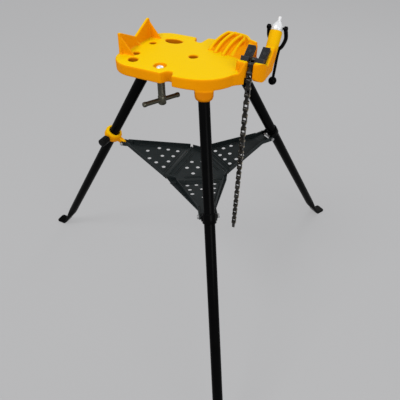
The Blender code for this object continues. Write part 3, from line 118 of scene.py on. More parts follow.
def buildStudio():
    # camera rays see the plain backdrop in the world, and on the floor most of it, with a share of the
    # shadow
    world = bpy.data.worlds.new("studioSky")
    scene.world = world
    world.use_nodes = True
    tree = world.node_tree
    sky = tree.nodes["Background"]
    fill(sky, {"Color": (*studio["sky"], 1), "Strength": studio["skyStrength"]})
    seen = tree.nodes.new("ShaderNodeLightPath").outputs["Is Camera Ray"]
    mixShaders(tree, seen, sky, plainNode(tree, "ShaderNodeBackground"), tree.nodes["World Output"])
    half = studio["floorSize"] / 2
    floorMesh = bpy.data.meshes.new("studioFloor")
    floorMesh.from_pydata([(-half, -half, 0), (half, -half, 0), (half, half, 0), (-half, half, 0)], [],
        [(0, 1, 2, 3)])
    floor = bpy.data.objects.new("studioFloor", floorMesh)
    scene.collection.objects.link(floor)
    floor.location.z = -studio["floorDrop"]
    material, tree, shader = newMaterial("floorGrey")
    fill(shader, {"Base Color": (*studio["backdrop"], 1), "Roughness": 0.95, "Specular IOR Level": 0.0})
    paths = tree.nodes.new("ShaderNodeLightPath").outputs
    seen = mathNode(tree, "MAXIMUM", paths["Is Camera Ray"], paths["Is Glossy Ray"])
    seen = mathNode(tree, "MAXIMUM", seen, paths["Is Transmission Ray"])
    share = mathNode(tree, "MULTIPLY", seen, 1 - studio["shadowShare"])
    mixShaders(tree, share, shader, plainNode(tree, "ShaderNodeEmission"), tree.nodes["Material Output"])
    floorMesh.materials.append(material)
    for name, lamp in studio["lamps"].items():
        data = bpy.data.lights.new(name + "Lamp", "AREA")
        data.shape = "DISK"
        data.size = lamp["size"]
        data.energy = lamp["power"]
        light = bpy.data.objects.new(name + "Lamp", data)
        scene.collection.objects.link(light)
        place, aim = np.array(lamp["place"]), np.array(lamp["aim"])
        away = (place - aim) / np.linalg.norm(place - aim)
        right = np.cross((0, 0, 1), away)
        right = right / np.linalg.norm(right)
        axes = np.stack([right, np.cross(away, right), away], 1)
        light.matrix_world = Matrix([[*row, p] for row, p in zip(axes, place)] + [[0, 0, 0, 1]])


buildStudio()
scene.view_settings.view_transform = "Standard"
print("studio built")


# Shared shader effects
def newGroup(name, inputs, outputs):
    group = bpy.data.node_groups.new(name, "ShaderNodeTree")
    for title, kind, value in inputs:
        socket = group.interface.new_socket(name=title, in_out="INPUT", socket_type=kind)
        socket.default_value = value
    for title, kind in outputs:
        group.interface.new_socket(name=title, in_out="OUTPUT", socket_type=kind)
    return group, group.nodes.new("NodeGroupInput"), group.nodes.new("NodeGroupOutput")


# Edge mask: one minus the cosine between the rounded and the flat normal, times a strength
# the edge colour it lays is edge wear, and on the casting also a painted highlight along rounded edges
edgeGroup, groupIn, groupOut = newGroup(
    "edgeWearAndHighlight", [("Radius", "NodeSocketFloat", 0.0015), ("Strength", "NodeSocketFloat", 6.0)],
    [("Mask", "NodeSocketFloat")])
rounded = edgeGroup.nodes.new("ShaderNodeBevel")
rounded.samples = 4
wire(edgeGroup, groupIn.outputs["Radius"], rounded.inputs["Radius"])
flatNormal = edgeGroup.nodes.new("ShaderNodeNewGeometry")
cosine = edgeGroup.nodes.new("ShaderNodeVectorMath")
cosine.operation = "DOT_PRODUCT"
wire(edgeGroup, rounded.outputs["Normal"], cosine.inputs[0])
wire(edgeGroup, flatNormal.outputs["Normal"], cosine.inputs[1])
fallen = mathNode(edgeGroup, "SUBTRACT", 1.0, cosine.outputs["Value"])
wearAndHighlight = mathNode(edgeGroup, "MULTIPLY", fallen, groupIn.outputs["Strength"], True)
wire(edgeGroup, wearAndHighlight, groupOut.inputs["Mask"])


def placeNoise(tree, scale, detail, roughness=0.5):
    noise = tree.nodes.new("ShaderNodeTexNoise")
    fill(noise, {"Detail": detail, "Roughness": roughness})
    wire(tree, tree.nodes.new("ShaderNodeTexCoord").outputs["Object"], noise.inputs["Vector"])
    wire(tree, scale, noise.inputs["Scale"])
    return noise.outputs["Fac"]


# Grain: fine noise over coarse noise on Object coordinates, and a slow tone
grainGroup, groupIn, groupOut = newGroup(
    "surfaceGrain", [("Fine", "NodeSocketFloat", 900.0), ("Coarse", "NodeSocketFloat", 60.0)],
    [("Height", "NodeSocketFloat"), ("Tone", "NodeSocketFloat")])
fine, coarse = (placeNoise(grainGroup, groupIn.outputs[title], 4) for title in ("Fine", "Coarse"))
mixed = mathNode(grainGroup, "ADD", mathNode(grainGroup, "MULTIPLY", fine, 0.6),
    mathNode(grainGroup, "MULTIPLY", coarse, 0.4))
wire(grainGroup, mixed, groupOut.inputs["Height"])
wire(grainGroup, coarse, groupOut.inputs["Tone"])

# Grime: noise raised to a threshold, for dust and dark patches
grimeGroup, groupIn, groupOut = newGroup(
    "grimePatches", [("Scale", "NodeSocketFloat", 25.0), ("Level", "NodeSocketFloat", 0.55)],
    [("Mask", "NodeSocketFloat")])
noise = placeNoise(grimeGroup, groupIn.outputs["Scale"], 6, 0.65)
above = mathNode(grimeGroup, "SUBTRACT", noise, groupIn.outputs["Level"])
wire(grimeGroup, mathNode(grimeGroup, "MULTIPLY", above, 6.0, True), groupOut.inputs["Mask"])


def placeGroup(tree, group, values):
    node = tree.nodes.new("ShaderNodeGroup")
    node.node_tree = group
    fill(node, values)
    return node


def mixColour(tree, factor, first, second):
    node = tree.nodes.new("ShaderNodeMix")
    node.data_type = "RGBA"
    wire(tree, factor, node.inputs["Factor"])
    for title, value in (("A", first), ("B", second)):
        socket = [s for s in node.inputs if s.name == title and s.type == "RGBA"][0]
        if isinstance(value, tuple):
            socket.default_value = (*value, 1)
        else:
            wire(tree, value, socket)
    return [s for s in node.outputs if s.type == "RGBA"][0]


# One recipe for all finishes: base, tone, grime and edge colours, the edge being wear and on the casting also
# a painted highlight, with grain in the bump and the roughness; what a finish leaves out is the plain one's
plainLook = dict(level=0.6, metal=0.0, fine=900.0, coarse=120.0, bump=0.05, depth=0.0003, radius=0.001,
    wear=2.0, coat=0.0, gloss=0.5)
finishes = dict(
    castYellow=dict(
        # top is a painted highlight colour and low a painted shade colour, laid on by the casting's painted
        # light tone
        base=(0.74, 0.245, 0.0), tone=(0.78, 0.29, 0.0), top=(0.78, 0.50, 0.0), low=(0.42, 0.12, 0.0),
        # the bright edge colour is edge wear and a painted highlight along the rounded edges
        edge=(0.9, 0.5, 0.01), grime=(0.5, 0.18, 0.0), level=0.7, rough=(0.5, 0.62), fine=420.0,
        coarse=22.0, bump=0.1, depth=0.0006, radius=0.0026, wear=2.2, gloss=0.03),
    legBlack=dict(
        base=(0.001, 0.001, 0.0011), tone=(0.002, 0.002, 0.0022), edge=(0.02, 0.02, 0.022),
        grime=(0.014, 0.014, 0.014), level=0.64, rough=(0.2, 0.3), fine=700.0, coarse=30.0, gloss=0.025),
    trayGrey=dict(
        base=(0.006, 0.009, 0.0095), tone=(0.016, 0.021, 0.022), edge=(0.045, 0.052, 0.052),
        grime=(0.006, 0.008, 0.008), level=0.48, rough=(0.36, 0.5), fine=500.0, coarse=26.0, bump=0.1,
        depth=0.0005, radius=0.0012, wear=3.0, gloss=0.1),
    chainBlack=dict(
        base=(0.008, 0.0075, 0.007), tone=(0.02, 0.017, 0.012), edge=(0.15, 0.12, 0.07),
        grime=(0.05, 0.03, 0.015), level=0.56, rough=(0.3, 0.5), metal=0.6, fine=800.0, coarse=90.0,
        bump=0.2, depth=0.0004, radius=0.0007, coat=0.1),
    pinBronze=dict(
        base=(0.42, 0.36, 0.25), tone=(0.6, 0.54, 0.42), edge=(0.75, 0.7, 0.6), grime=(0.08, 0.05, 0.03),
        level=0.56, rough=(0.22, 0.4), metal=1.0, coarse=200.0, bump=0.1, depth=0.0002, radius=0.0005),
    hardenedBlack=dict(
        base=(0.01, 0.01, 0.012), tone=(0.018, 0.018, 0.021), edge=(0.07, 0.07, 0.08),
        grime=(0.02, 0.02, 0.02), rough=(0.35, 0.5), fine=500.0, coarse=60.0, bump=0.08, radius=0.0008,
        gloss=0.2),
    screwBlack=dict(
        base=(0.02, 0.02, 0.022), tone=(0.035, 0.035, 0.037), edge=(0.12, 0.12, 0.13),
        grime=(0.03, 0.03, 0.03), rough=(0.3, 0.45), metal=0.6, depth=0.0002, radius=0.0005),
    zincBright=dict(
        base=(0.74, 0.74, 0.75), tone=(0.79, 0.79, 0.80), edge=(0.85, 0.85, 0.85), grime=(0.45, 0.44, 0.41),
        level=0.66, rough=(0.3, 0.42), metal=0.35, depth=0.0002, radius=0.0006, wear=1.5),
    darkSteel=dict(
        base=(0.06, 0.058, 0.044), tone=(0.10, 0.095, 0.07), edge=(0.42, 0.40, 0.33),
        grime=(0.05, 0.045, 0.03), level=0.54, rough=(0.28, 0.45), metal=0.85, bump=0.12, radius=0.0008,
        wear=2.5),
    knobBlack=dict(
        base=(0.004, 0.004, 0.004), tone=(0.007, 0.007, 0.007), edge=(0.03, 0.03, 0.03),
        grime=(0.014, 0.014, 0.014), level=0.62, rough=(0.35, 0.45), coarse=60.0, bump=0.06, gloss=0.05),
    dullZinc=dict(
        base=(0.30, 0.30, 0.31), tone=(0.38, 0.38, 0.38), edge=(0.55, 0.55, 0.54), grime=(0.12, 0.11, 0.1),
        level=0.55, rough=(0.35, 0.5), metal=0.6, bump=0.08, depth=0.0002, radius=0.0006, wear=1.5),
)
recipe = dict(grimeScale=0.8, grimeShare=0.35, coatRoughness=0.2)


def buildFinish(name, look):
    look = {**plainLook, **look}
    material, tree, shader = newMaterial(name)
    grain = placeGroup(tree, grainGroup, {"Fine": look["fine"], "Coarse": look["coarse"]})
    grime = placeGroup(tree, grimeGroup, {"Scale": look["coarse"] * recipe["grimeScale"],
        "Level": look["level"]})
    edge = placeGroup(tree, edgeGroup, {"Radius": look["radius"], "Strength": look["wear"]})
    colour = mixColour(tree, grain.outputs["Tone"], look["base"], look["tone"])
    if "top" in look:  # painted light tone, point by point: painted highlight (top), painted shade (low)
        coat = tree.nodes.new("ShaderNodeAttribute")
        coat.attribute_name = "paintedLightTone"
        for sign, shade in ((1.0, "top"), (-1.0, "low")):
            share = mathNode(tree, "MULTIPLY", coat.outputs["Fac"], sign, True)
            colour = mixColour(tree, share, colour, look[shade])
    dirt = mathNode(tree, "MULTIPLY", grime.outputs["Mask"], recipe["grimeShare"])
    colour = mixColour(tree, dirt, colour, look["grime"])
    colour = mixColour(tree, edge.outputs["Mask"], colour, look["edge"])
    wire(tree, colour, shader.inputs["Base Color"])
    low, high = look["rough"]
    rough = mathNode(tree, "ADD", low, mathNode(tree, "MULTIPLY", grain.outputs["Tone"], high - low))
    wire(tree, rough, shader.inputs["Roughness"])
    fill(shader, {"Metallic": look["metal"], "Coat Weight": look["coat"],
        "Specular IOR Level": look["gloss"], "Coat Roughness": recipe["coatRoughness"]})
    bump = tree.nodes.new("ShaderNodeBump")
    fill(bump, {"Strength": look["bump"], "Distance": look["depth"]})
    wire(tree, grain.outputs["Height"], bump.inputs["Height"])
    wire(tree, bump.outputs["Normal"], shader.inputs["Normal"])
    return material


materials = {name: buildFinish(name, look) for name, look in finishes.items()}
print("materials built:", len(materials))

# Helpers for surfaces worked out as arrays
up = np.array((0, 0, 1.0))


def addPiece(name, mesh, body, finish, replaced=(), angle=40):
    piece = bpy.data.objects.new(name, mesh)
    scene.collection.objects.link(piece)
    mesh.materials.append(materials[finish])
    mesh.shade_smooth()
    mesh.set_sharp_from_angle(angle=math.radians(angle))
    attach(piece, body)
    if replaced:
        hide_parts(*replaced)
    return piece


def merged(mesh, distance):
    # the mesh with its points closer than the distance made one, open for more steps
    bm = bmesh.new()
    bm.from_mesh(mesh)
    bmesh.ops.remove_doubles(bm, verts=bm.verts, dist=distance)
    return bm


def handBack(bm, mesh):
    bm.to_mesh(mesh)
    bm.free()
    return mesh


def gridMesh(name, grids, wrapRows=False):
    # each grid (rows, columns, 3) is closed round its columns; rows are closed too, or capped with a fan
    verts, faces, base = [], [], 0
    for grid in grids:
        rows, columns = grid.shape[:2]
        verts.append(grid.reshape(-1, 3))
        r = np.arange(rows if wrapRows else rows - 1)[:, None] * columns
        c = np.arange(columns)[None, :]
        nextR, nextC = (r + columns) % (rows * columns), (c + 1) % columns
        quads = np.stack([r + c, r + nextC, nextR + nextC, nextR + c], -1)
        faces += (quads.reshape(-1, 4) + base).tolist()
        if not wrapRows:
            verts.append(np.stack([grid[0].mean(0), grid[-1].mean(0)]))
            ring = np.arange(columns)
            after = (ring + 1) % columns
            first = np.stack([after, ring, np.full(columns, rows * columns)], -1)
            last = np.stack([ring, after, np.full(columns, columns + 1)], -1) + (rows - 1) * columns
            faces += (first + base).tolist() + (last + base).tolist()
        base += rows * columns + (0 if wrapRows else 2)
    mesh = bpy.data.meshes.new(name)
    mesh.from_pydata(np.concatenate(verts).tolist(), [], faces)
    bm = merged(mesh, 1e-6)
    bmesh.ops.recalc_face_normals(bm, faces=bm.faces)
    return handBack(bm, mesh)


def addGrids(name, grids, body, finish, replaced=(), angle=40, wrapRows=False):
    return addPiece(name, gridMesh(name, grids, wrapRows), body, finish, replaced, angle)


def unit(vector):
    vector = np.asarray(vector, float)
    return vector / np.linalg.norm(vector, axis=-1, keepdims=True)


def axisFrame(axis):
    # two unit vectors square to an axis
    axis = unit(axis)
    helper = np.array((1.0, 0, 0)) if abs(axis[0]) < 0.9 else np.array((0, 1.0, 0))
    first = unit(helper - axis * helper.dot(axis))
    return first, np.cross(axis, first), axis


def turnedGrid(profile, origin, axis, sides=48):
    # point = origin + r (cos t, sin t) square to the axis + h along it, for each (r, h) of the profile
    first, second, along = axisFrame(axis)
    t = np.linspace(0, 2 * np.pi, sides, endpoint=False)
    profile = np.asarray(profile, float)
    r, h = profile[:, 0][:, None, None], profile[:, 1][:, None, None]
    spin = np.cos(t)[:, None] * first + np.sin(t)[:, None] * second
    return np.asarray(origin, float) + r * spin[None] + h * along


def tubeGrid(path, radii, sides=32, reference=(1.0, 0, 0)):
    # circle of the given radius square to the path's tangent at each point
    path = np.asarray(path, float)
    tangent = unit(np.gradient(path, axis=0))
    side = unit(np.cross(tangent, np.asarray(reference, float) + tangent * 1e-6))
    other = np.cross(tangent, side)
    t = np.linspace(0, 2 * np.pi, sides, endpoint=False)
    radii = np.broadcast_to(radii, len(path))
    ring = np.cos(t)[None, :, None] * side[:, None] + np.sin(t)[None, :, None] * other[:, None]
    return path[:, None] + ring * radii[:, None, None]


def smoothPath(points, count):
    # Catmull-Rom curve through the points, read at even steps
    p = np.asarray(points, float)
    p = np.concatenate([[2 * p[0] - p[1]], p, [2 * p[-1] - p[-2]]])
    s = np.linspace(0, len(p) - 3, count)
    i = np.minimum(s.astype(int), len(p) - 4)
    t = (s - i)[:, None]
    a, b, c, d = p[i], p[i + 1], p[i + 2], p[i + 3]
    return (2 * b + (c - a) * t + (2 * a - 5 * b + 4 * c - d) * t ** 2 + (3 * b - a - 3 * c + d) * t ** 3) / 2


def ease(s):
    # smooth step: 3 s squared - 2 s cubed
    return s * s * (3 - 2 * s)


def rodProfile(r, low, high, soft, core=0.0003):
    # half section (r, h) of a rod or ring with softened ends
    return [(core, low), (r - soft, low), (r, low + soft), (r, high - soft), (r - soft, high), (core, high)]


def roundedCopy(name, node, body, finish, width, segments=3, angle=32, flatten=0.6):
    # CAD node dressed as it is: a merged copy with softly rounded edges
    mesh = frame["nodes"][node].data.copy()
    mesh.name = name
    mesh.materials.clear()
    bm = merged(mesh, 2e-6)
    bmesh.ops.dissolve_limit(bm, angle_limit=math.radians(flatten), verts=bm.verts, edges=bm.edges)
    piece = addPiece(name, handBack(bm, mesh), body, finish, (node,))
    bevel = piece.modifiers.new("softEdges", "BEVEL")
    bevel.width = width
    bevel.segments = segments
    bevel.limit_method = "ANGLE"
    bevel.angle_limit = math.radians(angle)
    bevel.harden_normals = True
    return piece


# Table casting: the solid fitted to its true edge, joined with the fuller ridges and rims, then recast at
# an even mesh and relaxed, as sand-cast edges are
casting = dict(voxel=0.0018, relax=0.5, passes=4, seam=0.001, top=0.86, rear=-0.027, bulge=0.002,
    half=0.1185, corner=0.060, oldCorner=0.035, roundX=0.148, nearRound=(0.127, 0.120, 2.4),
    farRound=(0.129, 0.129, 2.0), nearNotch=((0.119, 0), (0.129, 0.0175), (0.145, 0.0205)),
    farNotch=((0.120, 0.030), (0.102, 0.026), (0.095, 0)), nearEnd=(0.2865, -0.0315),
    farEnd=(0.2865, 0.044), step=0.0015, inset=0.0015, wall=0.0095, wallFrom=0.8, edgeRadius=0.0028,
    hub=(0.110, 0.0), warpFrom=0.55, skirtEnd=0.2795,
    depth=((-0.03, 0.0255), (0.216, 0.0262), (0.264, 0.0275), (0.287, 0.029)),
    cutLevels=(0.8345, 0.831, 0.827, 0.85), rimRise=0.022, rimLength=0.016, rimFlat=0.001,
    rearSocketR=0.0232, nutLow=0.8335, nutR=0.0178, viseFrom=0.255, viseHalf=0.052, viseAll=0.285,
    restEnd=0.06, cheek=dict(x=0.329, y=-0.035, r=0.024))
boss = dict(r=0.0212, rim=0.0185, low=0.8125, chamfer=0.005, slope=1.0, top=0.85)
sockets = dict(near=(0.2184, -0.0985), far=(0.2184, 0.0985), rear=(0.018, 0.0))
braceAt = (0.099, -0.082)


def superArc(size, start, end, count):
    # x and y are the half sizes times the cosine and sine raised to two over the power
    wide, deep, power = size
    t = np.linspace(start, end, count)
    c, d = np.cos(t), np.sin(t)
    return np.stack([casting["roundX"] + wide * np.sign(c) * np.abs(c) ** (2 / power),
        deep * np.sign(d) * np.abs(d) ** (2 / power)], -1)


def evenSteps(points, step, soften=0):
    # the polyline read at even steps, then averaged with its neighbours
    points = np.asarray(points, float)
    reach = np.concatenate([[0], np.cumsum(np.linalg.norm(np.diff(points, axis=0), axis=1))])
    s = np.linspace(0, reach[-1], int(reach[-1] / step) + 2)
    path = np.stack([np.interp(s, reach, points[:, k]) for k in range(points.shape[1])], -1)
    for _ in range(soften):
        path[1:-1] = (path[:-2] + 2 * path[1:-1] + path[2:]) / 4
    return path


def tableEdge(corner, nearRound):
    # plan of the edge, anticlockwise from the slot's far corner to its near corner
    half, rear = casting["half"], casting["rear"]
    far = superArc(casting["farRound"], math.radians(24), math.radians(101), 40)
    notch = [(x, half - drop) for x, drop in casting["farNotch"]]
    t = np.radians(np.linspace(90, 180, 14))
    farCorner = np.stack([rear + corner + corner * np.cos(t), half - corner + corner * np.sin(t)], -1)
    bulge = [(rear - casting["bulge"], 0)]
    nearCorner = farCorner[::-1] * (1, -1)
    near = [(x, drop - half) for x, drop in casting["nearNotch"]]
    around = superArc(nearRound, math.radians(-90), math.radians(-22), 44)
    whole = [[casting["farEnd"]], far, notch, farCorner, bulge, nearCorner, near, around,
        [casting["nearEnd"]]]
    return evenSteps(np.concatenate([np.asarray(part, float) for part in whole]), casting["step"], 3)


def skirtDepth(x):
    xs, depths = zip(*casting["depth"])
    return np.interp(x, xs, depths)


def band(path, section, tops, lows):
    # section points (offset, share, extra) stand off the path by the offset, at low + share (top - low) +
    # extra
    tangent = unit(np.gradient(path, axis=0))
    outward = np.stack([tangent[:, 1], -tangent[:, 0]], -1)
    offset, share, extra = (np.array(v)[None] for v in zip(*section))
    plan = path[:, None] + outward[:, None] * offset[..., None]
    height = lows[:, None] + (tops - lows)[:, None] * share + extra
    return np.concatenate([plan, height[..., None]], -1)


def roundedSection(outer, inner, radius, low=0.0015):
    # a wall's section, with a quarter circle at the outer and inner top edges
    a = np.radians((0, 30, 60, 90))
    crown = [(outer - radius * (1 - math.cos(v)), 1, radius * (math.sin(v) - 1)) for v in a]
    back = [(inner + radius * (1 - math.cos(v)), 1, radius * (math.sin(v) - 1)) for v in a[::-1]]
    return [(outer, 0, low), *crown, *back, (inner, 0, low), (inner + low, 0, 0), (outer - low, 0, 0)]


def skirtBand(edge):
    # the skirt's wall under the edge, rising at its near end into the cheek
    along = np.arange(len(edge))[::-1] * casting["step"]
    rise = np.clip(1 - (along - casting["rimFlat"]) / casting["rimLength"], 0, 1)
    tops = casting["top"] + casting["rimRise"] * ease(rise)
    section = roundedSection(0, -casting["wall"], casting["edgeRadius"])
    return band(edge, section, tops, casting["top"] - skirtDepth(edge[:, 0]))


def reach(edge, centre, angle):
    # distance from the centre to the closed edge in each direction, read from the edge's own angles
    flat = edge - centre
    own = np.arctan2(flat[:, 1], flat[:, 0])
    order = np.argsort(own)
    return np.interp(angle, own[order], np.linalg.norm(flat, axis=1)[order], period=2 * np.pi)


def fitToEdge(points, edge, former):
    # slides the solid's points along rays from the hub so that its former edge lies just inside the true
    # one, lifts the skirt's lower edge to its true depth, and leaves the vise and the pipe rest where
    # they are
    x, y, z = points.T
    hub, top = np.array(casting["hub"]), casting["top"]
    flat = points[:, :2] - hub
    r = np.linalg.norm(flat, axis=1)
    angle = np.arctan2(flat[:, 1], flat[:, 0])
    old, new = reach(former, hub, angle), reach(edge, hub, angle)
    share = np.clip((r / old - casting["warpFrom"]) / (1 - casting["warpFrom"]), 0, 1)
    moved = np.minimum(r * (1 + (np.minimum(new / old, 1) - 1) * ease(share)), new - casting["inset"])
    vise = (x > casting["viseFrom"]) & (np.abs(y) < casting["viseHalf"]) | (x > casting["viseAll"])
    rest = (z > top + 0.0005) & (x < casting["restEnd"])
    moved = np.where(vise | rest, r, moved)
    place = hub + flat * (moved / np.maximum(r, 1e-6))[:, None]
    rear = np.hypot(x - sockets["rear"][0], y - sockets["rear"][1]) < casting["rearSocketR"]
    wall = (r / old > casting["wallFrom"]) & ~rear & (x < casting["skirtEnd"])
    height = np.where(wall, np.maximum(z, np.minimum(top - skirtDepth(x) + casting["seam"], top)), z)
    nut = np.hypot(x - braceAt[0], y - braceAt[1]) < casting["nutR"]
    height = np.where(nut, np.maximum(height, casting["nutLow"]), height)
    return np.column_stack([place, height])


# Bender: four rounded ridges that rise along arcs to a rim on the table's far edge. Each ridge gives its
# place across, its start and end along, the share of the full arc and the lift
bender = dict(
    origin=(0.181, 0.042, 0.86), angle=math.radians(20), arcR=0.089, rise=0.034, width=0.0043, flare=1.25,
    lead=0.002, grooveLead=0.004,
    ridges=((-0.0215, 0.002, 0.073, 0.76, 0.0045), (0.0, -0.002, 0.074, 0.9, 0.003),
            (0.0245, -0.002, 0.070, 1.02, 0), (0.043, 0.009, 0.0585, 1.08, 0)),
    grooves=((-0.0215, 0.002, 0.074, 0.76, 0.0045),), floorDrop=0.0115, lip=0.0045, tall=0.03,
    sink=0.004, grooveSink=0.006, rimSink=0.012, rimWall=(-0.0004, -0.0078, 0.0030), rimFrom=0.03,
    rim=((0.174, 0.872), (0.179, 0.883), (0.184, 0.887), (0.190, 0.889), (0.210, 0.892),
         (0.228, 0.8955), (0.246, 0.8995), (0.258, 0.902), (0.272, 0.9035), (0.286, 0.902)))
c, d = math.cos(bender["angle"]), math.sin(bender["angle"])
acrossBend, alongBend = np.array((c, -d, 0)), np.array((d, c, 0))


def benderArc(place, start, s, share, lift):
    # height = lift + share of (square root of (R squared - (s - crest) squared) - R + rise)
    radius, rise = bender["arcR"], bender["rise"]
    crest = start + math.sqrt(radius ** 2 - (radius - rise) ** 2)
    height = lift + share * (np.sqrt(radius ** 2 - (s - crest) ** 2) - radius + rise)
    return np.array(bender["origin"]) + acrossBend * place + alongBend * s[:, None] + up * height[:, None]


def ridgeGrid(place, start, end, share, lift):
    # a wall with a round top: half circle over straight flanks, carried along the arc
    path = benderArc(place, start, np.linspace(start - bender["lead"], end, 30), share, lift)
    w, foot = bender["width"], bender["width"] * bender["flare"]
    cross = [(w * math.cos(v), w * (math.sin(v) - 1)) for v in np.radians(np.linspace(0, 180, 9))]
    cross = [(foot, -bender["tall"]), *cross, (-foot, -bender["tall"])]
    grid = np.stack([path + acrossBend * x + up * z for x, z in cross], 1)
    grid[:, (0, -1), 2] = np.minimum(grid[:, (0, -1), 2], casting["top"] - bender["sink"])
    return grid


def grooveGrid(place, start, end, share, lift, width):
    # the groove's floor: the ridge's arc set lower, over the width to the next ridge
    path = benderArc(place, start, np.linspace(start + bender["grooveLead"], end, 24), share, lift)
    path[:, 2] = np.maximum(path[:, 2] - bender["floorDrop"], casting["top"] + bender["lip"])
    right = path + acrossBend * width
    low = casting["top"] - bender["grooveSink"]
    pathLow, rightLow = (np.column_stack([side[:, :2], np.full(len(side), low)]) for side in (path, right))
    return np.stack([pathLow, rightLow, right, path], 1)


def rimLine(edge):
    xs, heights = zip(*bender["rim"])
    path = edge[(edge[:, 1] > bender["rimFrom"]) & (edge[:, 0] > xs[0]) & (edge[:, 0] < xs[-1])]
    return path, np.interp(path[:, 0], xs, heights)


def rimGrid(edge):
    # the wall on the far edge that the ridges end at
    path, tops = rimLine(edge)
    lows = np.full(len(path), casting["top"] - bender["rimSink"])
    return band(path, roundedSection(*bender["rimWall"]), tops, lows)


def bossGrid(edge, middle):
    # radius = the boss's own, with a chamfer at its rim, or the way to the skirt's face if that is less;
    # below the skirt the face's limit runs outward with the depth
    t = np.linspace(0, 2 * np.pi, 64, endpoint=False)
    face = reach(edge, np.array(middle), t)
    low = casting["top"] - skirtDepth(middle[0])
    z = np.concatenate([[boss["top"]], np.linspace(low + casting["seam"], boss["low"], 12)])
    own = np.interp(z, (boss["low"], boss["low"] + boss["chamfer"], low),
        (boss["rim"], boss["r"], boss["r"]))
    limit = face[None] - casting["seam"] + np.maximum(low - z, 0)[:, None] * boss["slope"]
    r = np.minimum(own[:, None], limit)
    height = np.broadcast_to(z[:, None], r.shape)
    return np.stack([middle[0] + r * np.cos(t), middle[1] + r * np.sin(t), height], -1)


# Bores: a collar under each hole, so that its wall goes deeper than the plate; the large one is an oval
bores = (dict(place=(0.144, -0.002), r=0.011), dict(place=(0.013, 0.030), r=0.0085),
    dict(place=(0.011, -0.046), r=0.0095), dict(place=(0.024, -0.082), r=0.014),
    dict(place=(0.054, 0.073), r=0.025, oval=0.0155, shift=-0.006))
boreWall = dict(outside=0.0035, snug=0.985, start=0.002, lip=0.0012, depth=0.021)


def boreCollar(hole):
    # inner wall x = r cos t, y = oval sin t + shift; outer wall a little outside the hole's circle
    x, y = hole["place"]
    r, oval, shift = hole["r"], hole.get("oval", hole["r"]), hole.get("shift", 0.0)
    t = np.linspace(0, 2 * np.pi, 48, endpoint=False)
    inner = (r * boreWall["snug"], oval * boreWall["snug"], shift)
    outer = (r + boreWall["outside"], r + boreWall["outside"], 0)
    rows = []
    for (a, b, move), drop in zip((outer, inner, inner, outer),
            (boreWall["start"], boreWall["lip"], boreWall["depth"], boreWall["depth"])):
        height = np.full(len(t), casting["top"] - drop)
        rows.append(np.stack([x + a * np.cos(t), y + b * np.sin(t) + move, height], -1))
    return np.stack(rows)


# Painted light on the casting, as one tone: painted highlight on flat tops, ridge crowns, rims and the screw
# housing; painted shade in the grooves, under the skirt and inside the bores
coat = dict(flatFrom=0.72, flatOver=0.24, crownR=0.0042, crownOver=0.002, crownHighlight=0.8, rimInset=0.004,
    grooveShadeShare=0.15, bendX=(0.155, 0.262), bendY=0.03, bendAbove=0.0025, housing=(0.316, 0.0735, 0.921),
    tilt=math.radians(32), housingFrom=-0.05, housingOver=0.02, housingR=0.0165, housingLow=0.872,
    housingHighlight=0.6, underOver=0.003, underShade=0.8, boreEdge=0.001, boreDepth=0.003, boreShade=0.9)


def paintedLightTone(points, normals, edge):
    x, y, z = points.T
    top = casting["top"]
    # painted highlight on faces that point up
    tone = ease(np.clip((normals[:, 2] - coat["flatFrom"]) / coat["flatOver"], 0, 1))
    # painted highlight along the ridge crowns and the rim top
    lines = [benderArc(place, start, np.linspace(start, end, 50), share, lift)
             for place, start, end, share, lift in bender["ridges"]]
    rim, tops = rimLine(edge)
    lines.append(np.column_stack([rim - (0.0, coat["rimInset"]), tops]))
    near = np.full(len(points), 1.0)
    for point in np.concatenate(lines):
        near = np.minimum(near, np.linalg.norm(points - point, axis=1))
    crown = np.clip(1 - (near - coat["crownR"]) / coat["crownOver"], 0, 1)
    # in the bender the flat-top highlight is cut to a share, a painted shade in the grooves, while the crowns
    # keep theirs
    low, high = coat["bendX"]
    inBender = (x > low) & (x < high) & (y > coat["bendY"]) & (z > top + coat["bendAbove"])
    tone = np.where(inBender, np.maximum(tone * coat["grooveShadeShare"], crown * coat["crownHighlight"]), tone)
    # painted highlight on the screw housing
    axis = np.array((0, math.sin(coat["tilt"]), math.cos(coat["tilt"])))
    away = points - coat["housing"]
    along = away @ axis
    aside = np.linalg.norm(away - along[:, None] * axis, axis=1)
    housing = np.clip((along - coat["housingFrom"]) / coat["housingOver"], 0, 1)
    housing = housing * (aside < coat["housingR"]) * (z > coat["housingLow"])
    tone = np.maximum(tone, housing * coat["housingHighlight"])
    # painted shade below the skirt's lower edge
    under = np.clip((top - skirtDepth(x) - 0.0005 - z) / coat["underOver"], 0, 1)
    # painted shade inside the bores
    hole = np.min([np.hypot(x - bore["place"][0], y - bore["place"][1]) - bore["r"] for bore in bores],
        axis=0)
    inside = (hole < coat["boreEdge"]) & (z < top - coat["boreDepth"])
    return tone - under * coat["underShade"] - inside * coat["boreShade"]


def roundCheek(points):
    # the outer cheek's near corner: points beyond the circle about its centre are drawn in onto it
    cheek = casting["cheek"]
    middle = np.array((cheek["x"] - cheek["r"], cheek["y"] + cheek["r"]))
    off = points[:, :2] - middle
    far = np.linalg.norm(off, axis=1)
    out = (off[:, 0] > 0) & (off[:, 1] < 0) & (far > cheek["r"])
    points[:, :2] = middle + off * np.where(out, cheek["r"] / np.maximum(far, 1e-6), 1)[:, None]
    return points


def readPoints(mesh, layer="vertices", field="co"):
    values = np.empty(len(getattr(mesh, layer)) * 3)
    getattr(mesh, layer).foreach_get(field, values)
    return values.reshape(-1, 3)


